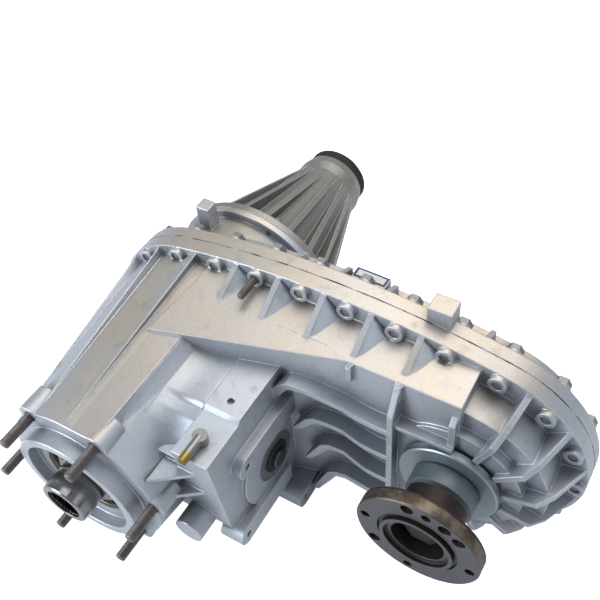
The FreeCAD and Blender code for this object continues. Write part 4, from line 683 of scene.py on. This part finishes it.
def stud_centres(node, count):
    """Centres of equally spaced rods on a circle round the main shaft, from the node's points."""
    mesh = frame["nodes"][node].data
    points = np.empty(len(mesh.vertices) * 3)
    mesh.vertices.foreach_get("co", points)
    points = points.reshape(-1, 3)
    angle = np.degrees(np.arctan2(points[:, 2], points[:, 0])) % 360
    first = angle[np.argmax(points[:, 0])]
    step = 360 / count
    places = []
    for i in range(count):
        near = np.abs((angle - first - step * i + 180) % 360 - 180) < step / 2
        low, high = points[near].min(axis=0), points[near].max(axis=0)
        places.append(((low[0] + high[0]) / 2, (low[2] + high[2]) / 2))
    return places


stud_low, stud_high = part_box("adapter_studs")
stud_places = stud_centres("adapter_studs", STUD_COUNT)
rods = [threaded_rod(x, z, stud_low.y, stud_high.y, STUD_RADIUS) for x, z in stud_places]
stud_points, stud_faces = joined([(rod, rod_faces(*rod.shape[:2])) for rod in rods])
studs = mesh_piece("threaded_adapter_studs", stud_points, stud_faces, stud_finish, "case")
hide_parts("adapter_studs")
print("studs:", [(round(x, 3), round(z, 3)) for x, z in stud_places])

# %% [markdown]
# ### The stud of the joint flange
# One stud stands in the joint flange, among bolts with hexagon heads. It is alone on its node, so the
# node's box gives its middle, its length and its radius.

# %% Stud of the joint flange
side_low, side_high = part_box("flange_stud")
side_middle = (side_low + side_high) / 2
side_radius = (side_high.x - side_low.x) / 2
rod = threaded_rod(side_middle.x, side_middle.z, side_low.y, side_high.y, side_radius)
side_stud = mesh_piece("threaded_flange_stud", rod, rod_faces(*rod.shape[:2]), stud_finish, "case")
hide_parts("flange_stud")
print("rows of the flange stud:", len(rod))

# %% [markdown]
# ## The outline of the joint
# The two halves of the case meet on one outline. It is four tangent arcs: one round each shaft, and
# two long, slightly crowned sides. An arc that touches both end arcs from outside has its centre as
# far from each shaft as its own radius is larger than theirs, and that gives the centre. The outline
# is worked out here rather than read from the solid, because arcs stay smooth at any density.

# %% Joint outline
MAIN_END_RADIUS = -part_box("front_case")[0].x
FRONT_END_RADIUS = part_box("front_case")[1].x - front_x
CROWN_RADIUS = 0.722
JOINT_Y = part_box("rear_case")[0].y
OUTLINE_POINTS = 720
FEWEST_ON_ARC = 8

main_reach, front_reach = CROWN_RADIUS - MAIN_END_RADIUS, CROWN_RADIUS - FRONT_END_RADIUS
crown_x = (main_reach ** 2 - front_reach ** 2 + front_x ** 2) / (2 * front_x)
crown_z = math.sqrt(main_reach ** 2 - crown_x ** 2)


def joint_outline():
    """Points of the outline, arc by arc: centre plus radius times cosine and sine of the angle."""
    main_turn = math.atan2(crown_z, -crown_x)
    front_turn = math.atan2(crown_z, front_x - crown_x)
    whole = 2 * math.pi
    arcs = (
        (MAIN_X, 0.0, MAIN_END_RADIUS, main_turn, whole - main_turn),
        (crown_x, crown_z, CROWN_RADIUS, whole - main_turn, whole - front_turn),
        (front_x, 0.0, FRONT_END_RADIUS, -front_turn, front_turn),
        (crown_x, -crown_z, CROWN_RADIUS, front_turn, main_turn),
    )
    lengths = np.array([radius * (last - first) for _, _, radius, first, last in arcs])
    points = []
    for (x, z, radius, first, last), length in zip(arcs, lengths):
        count = max(FEWEST_ON_ARC, int(OUTLINE_POINTS * length / lengths.sum()))
        angle = np.linspace(first, last, count, endpoint=False)
        points.append(np.stack([x + radius * np.cos(angle), z + radius * np.sin(angle)], axis=-1))
    return np.concatenate(points)


def outward(path):
    """Unit direction away from the middle, square to a closed path of X and Z."""
    along = np.roll(path, -1, axis=0) - np.roll(path, 1, axis=0)
    side = np.stack([along[:, 1], -along[:, 0]], axis=-1)
    side /= np.linalg.norm(side, axis=1, keepdims=True)
    towards = np.sum(side * (path - path.mean(axis=0)), axis=1, keepdims=True)
    return side * np.sign(towards)


outline = joint_outline()
print("outline points:", len(outline), "end radii:", round(MAIN_END_RADIUS, 4), round(FRONT_END_RADIUS, 4))

# %% [markdown]
# ## Sealant in the joint
# The halves are glued with a grey sealant, and a thin bead of it shows all round the joint. The bead
# is a flat half-round profile carried along the outline. Its size swells and shrinks by two slow sine
# waves, because squeezed sealant is never even, and it sinks a little into the flange so that no gap
# shows under it.

# %% Sealant bead
BEAD_STAND = 0.0005
BEAD_HALF_WIDTH = 0.0008
BEAD_SINK = 0.0002
BEAD_SIDES = 8
SHORT_WAVE, LONG_WAVE = 0.31, 0.047
SEALANT_GREY, SEALANT_OILED = (0.30, 0.28, 0.25), (0.035, 0.03, 0.028)
SEALANT_PATCH_SIZE = 0.012


def sealant_bead(path):
    """A flat bead: stand-out times the cosine across its width, with a slow wave along its length."""
    out = outward(path)
    across = np.linspace(-np.pi / 2, np.pi / 2, BEAD_SIDES)[None, :]
    place = np.arange(len(path))[:, None]
    swell = 0.75 + 0.25 * np.sin(place * SHORT_WAVE) * np.sin(place * LONG_WAVE + 1)
    stand = BEAD_STAND * np.cos(across) * swell - BEAD_SINK
    y = JOINT_Y + BEAD_HALF_WIDTH * np.sin(across) * swell
    return np.stack([path[:, :1] + out[:, :1] * stand, y, path[:, 1:] + out[:, 1:] * stand], axis=-1)


def ring_faces(rows, sides):
    """Quads of a tube that closes both ways, along the path and round its profile."""
    i, j = np.meshgrid(np.arange(rows), np.arange(sides), indexing="ij")
    k = (j + 1) % sides
    n = (i + 1) % rows
    quads = np.stack([i * sides + j, i * sides + k, n * sides + k, n * sides + j], axis=-1)
    return quads.reshape(-1, 4).tolist()


def grey_sealant():
    """Grey where the sealant is bare and nearly black where oil soaked it."""
    paint = Paint("grey_sealant", Metallic=0.0)
    patch = paint.noise(SEALANT_PATCH_SIZE, detail=5).above(0.42, 0.12)
    colour = paint.mix(patch, SEALANT_GREY, SEALANT_OILED)
    return paint.finish(Base_Color=colour, Roughness=0.55 + patch * 0.2)


bead_faces = ring_faces(len(outline), BEAD_SIDES)
bead = mesh_piece("joint_sealant", sealant_bead(outline), bead_faces, grey_sealant(), "case")
print("bead quads:", len(bead_faces))

# %% [markdown]
# ## Sheets with a thickness
# The label, its seat and three cast forms below are height fields: a height over a grid of two
# numbers. One helper lays out such a grid, and one closes a height field with a lower side and walls,
# so that each piece is a closed skin that points outwards. The crown of the casting is an arc of the
# outline, moved inwards.

# %% Height fields
def grid(down, across, rows, columns):
    """Two arrays of rows by columns: the first value runs down the rows, the second across them."""
    return np.meshgrid(np.linspace(*down, rows), np.linspace(*across, columns), indexing="ij")


def closed_sheet(x, y, top, thickness):
    """A height field top(x, y) over a grid, closed below by the same grid moved down."""
    rows, columns = top.shape
    upper, lower = (np.stack([x, y, z], axis=-1).reshape(-1, 3) for z in (top, top - thickness))
    i, j = np.meshgrid(np.arange(rows - 1), np.arange(columns - 1), indexing="ij")
    a = (i * columns + j).ravel()
    quads = np.stack([a, a + 1, a + columns + 1, a + columns], axis=-1)
    under = quads[:, ::-1] + rows * columns
    index = np.arange(rows * columns).reshape(rows, columns)
    rim = np.concatenate([index[0, :-1], index[:-1, -1], index[-1, :0:-1], index[:0:-1, 0]])
    following = np.roll(rim, -1)
    walls = np.stack([following, rim, rim + rows * columns, following + rows * columns], axis=-1)
    return np.concatenate([upper, lower]), np.concatenate([quads, under, walls]).tolist()


def crown_height(x, inset):
    """Z of the upper long side: the root of radius squared minus x squared, from the arc's centre."""
    return np.sqrt((CROWN_RADIUS - inset) ** 2 - (x - crown_x) ** 2) - crown_z


print("crown above the middle:", round(float(crown_height(front_x / 2, 0.0)), 4))

# %% [markdown]
# ## A bare label on its seat
# A small sticker lies on a raised seat on top of the rear case. Both follow the crown of the casting.
# The seat runs from the bolt heads to just behind the sticker and has flat shading, because its edges
# are sharp. The sticker is left bare: a white field with a blue border, whose width is measured from
# the sticker's own edges.

# %% Label and seat
LABEL_X = (0.1325, 0.1610)
LABEL_Y = (0.2176, 0.2276)
LABEL_BORDER, BORDER_SOFT = 0.0017, 0.0001
SCUFF_SIZE = 0.003
LABEL_STAND, LABEL_THICKNESS = 0.0003, 0.0006
BORDER_BLUE, FIELD_WHITE, SCUFF_GREY = (0.022, 0.075, 0.19), (0.78, 0.75, 0.68), (0.45, 0.43, 0.38)
SEAT_INSET = 0.0125
SEAT_DEPTH = 0.0100
SEAT_SIDE_MARGIN, SEAT_END_MARGIN = 0.0010, 0.0003
SHEET_COLUMNS, SEAT_ROWS, LABEL_ROWS = 30, 6, 12


def label_paper():
    """White inside a border that is blue, with a few grey scuffs."""
    paint = Paint("label_paper", Metallic=0.0)
    x, y, _ = paint.along()
    middle_x, middle_y = sum(LABEL_X) / 2, sum(LABEL_Y) / 2
    from_side = LABEL_X[1] - middle_x - abs(x - middle_x)
    from_end = LABEL_Y[1] - middle_y - abs(y - middle_y)
    inside = from_side.above(LABEL_BORDER, BORDER_SOFT) * from_end.above(LABEL_BORDER, BORDER_SOFT)
    scuff = paint.noise(SCUFF_SIZE, detail=4)
    colour = paint.mix(inside, BORDER_BLUE, FIELD_WHITE)
    colour = paint.mix(scuff.above(0.6, 0.1) * 0.25, colour, SCUFF_GREY)
    return paint.finish(Base_Color=colour, Roughness=0.45 + scuff * 0.2)


seat_ends = (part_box("case_bolts")[1].y + SEAT_END_MARGIN, LABEL_Y[1] + SEAT_END_MARGIN)
seat_sides = (LABEL_X[0] - SEAT_SIDE_MARGIN, LABEL_X[1] + SEAT_SIDE_MARGIN)
y, x = grid(seat_ends, seat_sides, SEAT_ROWS, SHEET_COLUMNS)
seat_sheet = closed_sheet(x, y, crown_height(x, SEAT_INSET), SEAT_DEPTH)
seat = mesh_piece("label_seat", *seat_sheet, case_finish, "case", smooth=False)

y, x = grid(LABEL_Y, LABEL_X, LABEL_ROWS, SHEET_COLUMNS)
label_sheet = closed_sheet(x, y, crown_height(x, SEAT_INSET) + LABEL_STAND, LABEL_THICKNESS)
label = mesh_piece("blank_label", *label_sheet, label_paper(), "case")
print("seat from y =", round(seat_ends[0], 4), "label at z =", round(float(label_sheet[0][:, 2].max()), 4))

# %% [markdown]
# ## The cast fillet beside the shift housing
# On the casting, the barrel runs up to the shift housing in one hollow sweep. The sweep is a height
# field over X and Y: at each station along the shaft it starts on the barrel, with the barrel's own
# slope, and ends level on the edge of the pad. Between the two runs a cubic (the Hermite form, which
# takes two heights and two slopes), because it leaves both surfaces without a crease.

# %% Shift fillet
ADAPTER_RADIUS = 0.073
BARREL_END_RADIUS = 0.088
FLANGE_FACE_Y = 0.180
FILLET_X = (0.040, 0.0802)
FILLET_Y = (0.034, 0.1265)
PAD_STATIONS = (0.034, 0.046, 0.058, 0.066, 0.069, 0.072, 0.1265)
PAD_HEIGHTS = (0.033, 0.050, 0.0595, 0.0612, 0.0615, 0.0655, 0.0655)
FILLET_ROWS, FILLET_COLUMNS = 60, 30
FILLET_THICKNESS = 0.006
FRONT_DIP, DIP_POWER = 0.0005, 8
BARREL_SINK = 0.0002


def barrel_height(x, y):
    """Upper side of the tapered barrel: the root of radius squared minus x squared."""
    radius = ADAPTER_RADIUS + (BARREL_END_RADIUS - ADAPTER_RADIUS) * y / FLANGE_FACE_Y
    return np.sqrt(np.maximum(radius ** 2 - x ** 2, 0))


def pad_edge(y):
    """Height of the pad's left edge: a rise from the front, a low level, and a small step up."""
    return np.interp(y, PAD_STATIONS, PAD_HEIGHTS)


def hollow_sweep(share, start, end, start_slope, end_slope):
    """The Hermite cubic over share from 0 to 1: two heights, and two slopes per whole width."""
    rest = 1 - share
    heights = rest ** 2 * (1 + 2 * share) * start + share ** 2 * (3 - 2 * share) * end
    return heights + rest ** 2 * share * start_slope - share ** 2 * rest * end_slope


def shift_fillet():
    """The sweep from the barrel to the pad edge, or the barrel less a small sink where that is higher."""
    y, x = grid(FILLET_Y, FILLET_X, FILLET_ROWS, FILLET_COLUMNS)
    width = FILLET_X[1] - FILLET_X[0]
    share = (x - FILLET_X[0]) / width
    start = barrel_height(FILLET_X[0], y)
    hollow = hollow_sweep(share, start, pad_edge(y), -FILLET_X[0] / start * width, 0.0)
    hollow -= FRONT_DIP * (1 - share) ** DIP_POWER
    return closed_sheet(x, y, np.maximum(hollow, barrel_height(x, y) - BARREL_SINK), FILLET_THICKNESS)


fillet_points, fillet_faces = shift_fillet()
fillet = mesh_piece("shift_fillet", fillet_points, fillet_faces, case_finish, "case")
print("fillet points:", len(fillet_points))

# %% [markdown]
# ### The hollow beside the stud tower
# The tower of the nearest stud runs back to the ledge, and its right flank flows down into the barrel.
# The flank is the same cubic again: it leaves the tower's edge steeply and meets the barrel with the
# barrel's own slope. It is narrow at the stud and wide at the ledge.

# %% Tower fillet
TOWER_Y = (0.024, 0.112)
EDGE_X, EDGE_Z = (0.0312, 0.0334), (0.0760, 0.0817)
FLANK_WIDTH = (0.0050, 0.0190)
FLANK_SINK = 0.0003
FIRST_FALL = 1.5
FLANK_ROWS, FLANK_COLUMNS = 40, 14


def blend(ends, share):
    """The first end where share is 0 and the second where it is 1."""
    return ends[0] + (ends[1] - ends[0]) * share


def tower_fillet():
    """From the tower's edge down to the barrel, over a width that grows along the tower."""
    back, share = grid((0, 1), (0, 1), FLANK_ROWS, FLANK_COLUMNS)
    y, edge_x, width = blend(TOWER_Y, back), blend(EDGE_X, back), blend(FLANK_WIDTH, back)
    edge_z = blend(EDGE_Z, back) - FLANK_SINK
    foot_x = edge_x + width
    foot_z = barrel_height(foot_x, y) - FLANK_SINK
    first_slope, foot_slope = FIRST_FALL * (foot_z - edge_z), -foot_x / foot_z * width
    flank = hollow_sweep(share, edge_z, foot_z, first_slope, foot_slope)
    return closed_sheet(edge_x + width * share, y, flank, FILLET_THICKNESS)


flank_points, flank_faces = tower_fillet()
flank_piece = mesh_piece("tower_fillet", flank_points, flank_faces, case_finish, "case")
print("tower fillet points:", len(flank_points))

# %% [markdown]
# ## Webs that lean on the gussets
# Each gusset under the joint flange runs out sideways into a hollow wedge on the ledge. One wedge is a
# height field too: its crest follows the gusset's top, its foot swings out on the ledge towards the
# flange, and the height between them falls in a hollow curve. The lower side is the mirror image, and
# its faces are read backwards, because a mirror turns them inside out.

# %% Gusset webs
GUSSETS_X = (0.043, 0.085, 0.127, 0.169, 0.211)
GUSSET_HALF_WIDTH = 0.0015
GUSSET_TIP_Y, GUSSET_TIP_Z = 0.140, 0.084
CREST_SINK, FOOT_SINK = 0.0004, 0.0006
TIP_REACH, WEB_REACH = 0.0005, 0.016
WEB_HOLLOW = 1.2
WEB_THICKNESS = 0.003
WEB_ROWS, WEB_COLUMNS = 14, 12
FLANGE_INSET = 0.0015
LEDGE_Y, LEDGE_Z = (0.099, 0.181), (0.083, 0.093)


def gusset_web(centre_x):
    """Over station v and share u: foot plus (crest minus foot) times (1 minus u) to a power."""
    v, u = grid((0, 1), (0, 1), WEB_ROWS, WEB_COLUMNS)
    y = blend((GUSSET_TIP_Y, FLANGE_FACE_Y), v)
    x = centre_x + GUSSET_HALF_WIDTH + (TIP_REACH + WEB_REACH * v) * u
    foot = blend(LEDGE_Z, (y - LEDGE_Y[0]) / (LEDGE_Y[1] - LEDGE_Y[0])) - FOOT_SINK
    crest = blend((GUSSET_TIP_Z, crown_height(centre_x, FLANGE_INSET)), v) - CREST_SINK
    z = foot + np.maximum(crest - foot, 0) * (1 - u) ** WEB_HOLLOW
    return closed_sheet(x, y, z, WEB_THICKNESS)


def mirrored(sheet, side):
    """The sheet as it is for side 1, and upside down for side -1."""
    points, faces = sheet
    return points * (1, 1, side), [face[::side] for face in faces]


webs_both_sides = [mirrored(gusset_web(x), side) for x in GUSSETS_X for side in (1, -1)]
webs = mesh_piece("gusset_webs", *joined(webs_both_sides), case_finish, "case")
print("webs:", len(webs_both_sides))

# %% [markdown]
# ## The floor
# The picture has a white ground with a soft shadow on it. The floor is one large square, a pale grey
# that takes the shadow. To the camera alone it also glows, so that it reads as white there and throws
# no more light on the case.

# %% Floor
FLOOR_GAP = 0.0005
FLOOR_HALF_SIZE = 6.0
FLOOR_LIFT = 0.9
FLOOR_GREY = (0.86, 0.86, 0.86)
BLACK, WHITE = (0, 0, 0), (1, 1, 1)
floor_z = cad_low.z - FLOOR_GAP


def white_floor():
    """A square of the stage at floor_z, grey to the lamps and white to the camera."""
    paint = Paint("floor_white", Roughness=0.9)
    seen = paint.node("ShaderNodeLightPath", {}, {})("Is Camera Ray")
    paint.shader.inputs["Emission Strength"].default_value = FLOOR_LIFT
    paint.finish(Base_Color=FLOOR_GREY, Emission_Color=paint.mix(seen, BLACK, WHITE))
    mesh = bpy.data.meshes.new("floor")
    signs = ((-1, -1), (1, -1), (1, 1), (-1, 1))
    corners = [(FLOOR_HALF_SIZE * x, FLOOR_HALF_SIZE * y, floor_z) for x, y in signs]
    mesh.from_pydata(corners, [], [(0, 1, 2, 3)])
    mesh.materials.append(paint.material)
    floor = bpy.data.objects.new("floor", mesh)
    bpy.context.scene.collection.objects.link(floor)


white_floor()
print("floor at z =", round(floor_z, 4))

# %% [markdown]
# ## Lamps and surroundings
# Blasted metal wants large lamps, because a small one makes hard spots on it. One broad lamp hangs
# over the back and is a little warm, one stands to the left in front and is cooler, and a weak one
# fills in from the right. The surroundings are a cool grey to the metal and white to the camera.

# %% Lamps and world
MIDDLE = (cad_low + cad_high) / 2
SURROUNDINGS = (0.30, 0.325, 0.37)
LAMPS = {
    "top_lamp": ((0.0, 0.55, 1.25), (1.2, 1.0), 12.3, (1.0, 0.98, 0.95)),
    "left_front_lamp": ((-0.9, -1.2, 0.5), (0.8, 0.8), 19, (0.85, 0.92, 1.0)),
    "right_lamp": ((1.3, -0.2, 0.7), (0.6, 0.6), 2.5, (0.92, 0.95, 1.0)),
}


def area_lamp(name, place, size, power, tint):
    """A rectangle of light at a place seen from the middle of the case, turned to look at it."""
    light = bpy.data.lights.new(name, "AREA")
    light.shape = "RECTANGLE"
    light.size, light.size_y = size
    light.energy = power
    light.color = tint
    lamp = bpy.data.objects.new(name, light)
    lamp.location = MIDDLE + Vector(place)
    lamp.rotation_mode = "QUATERNION"
    lamp.rotation_quaternion = (-Vector(place)).to_track_quat("-Z", "Y")
    bpy.context.scene.collection.objects.link(lamp)


def white_world():
    """Soft grey surroundings that the camera sees as white."""
    world = bpy.data.worlds.new("studio")
    world.use_nodes = True
    tree = world.node_tree
    rays = tree.nodes.new("ShaderNodeLightPath")
    level = tree.nodes.new("ShaderNodeMix")
    level.data_type = "RGBA"
    level.inputs[MIX_A].default_value = (*SURROUNDINGS, 1)
    level.inputs[MIX_B].default_value = (*WHITE, 1)
    tree.links.new(rays.outputs["Is Camera Ray"], level.inputs[MIX_FACTOR])
    tree.links.new(level.outputs[MIX_RESULT], tree.nodes["Background"].inputs["Color"])
    bpy.context.scene.world = world


white_world()
for lamp_name, settings in LAMPS.items():
    area_lamp(lamp_name, *settings)
bpy.context.scene.view_settings.view_transform = "Standard"
print("lamps:", list(LAMPS))
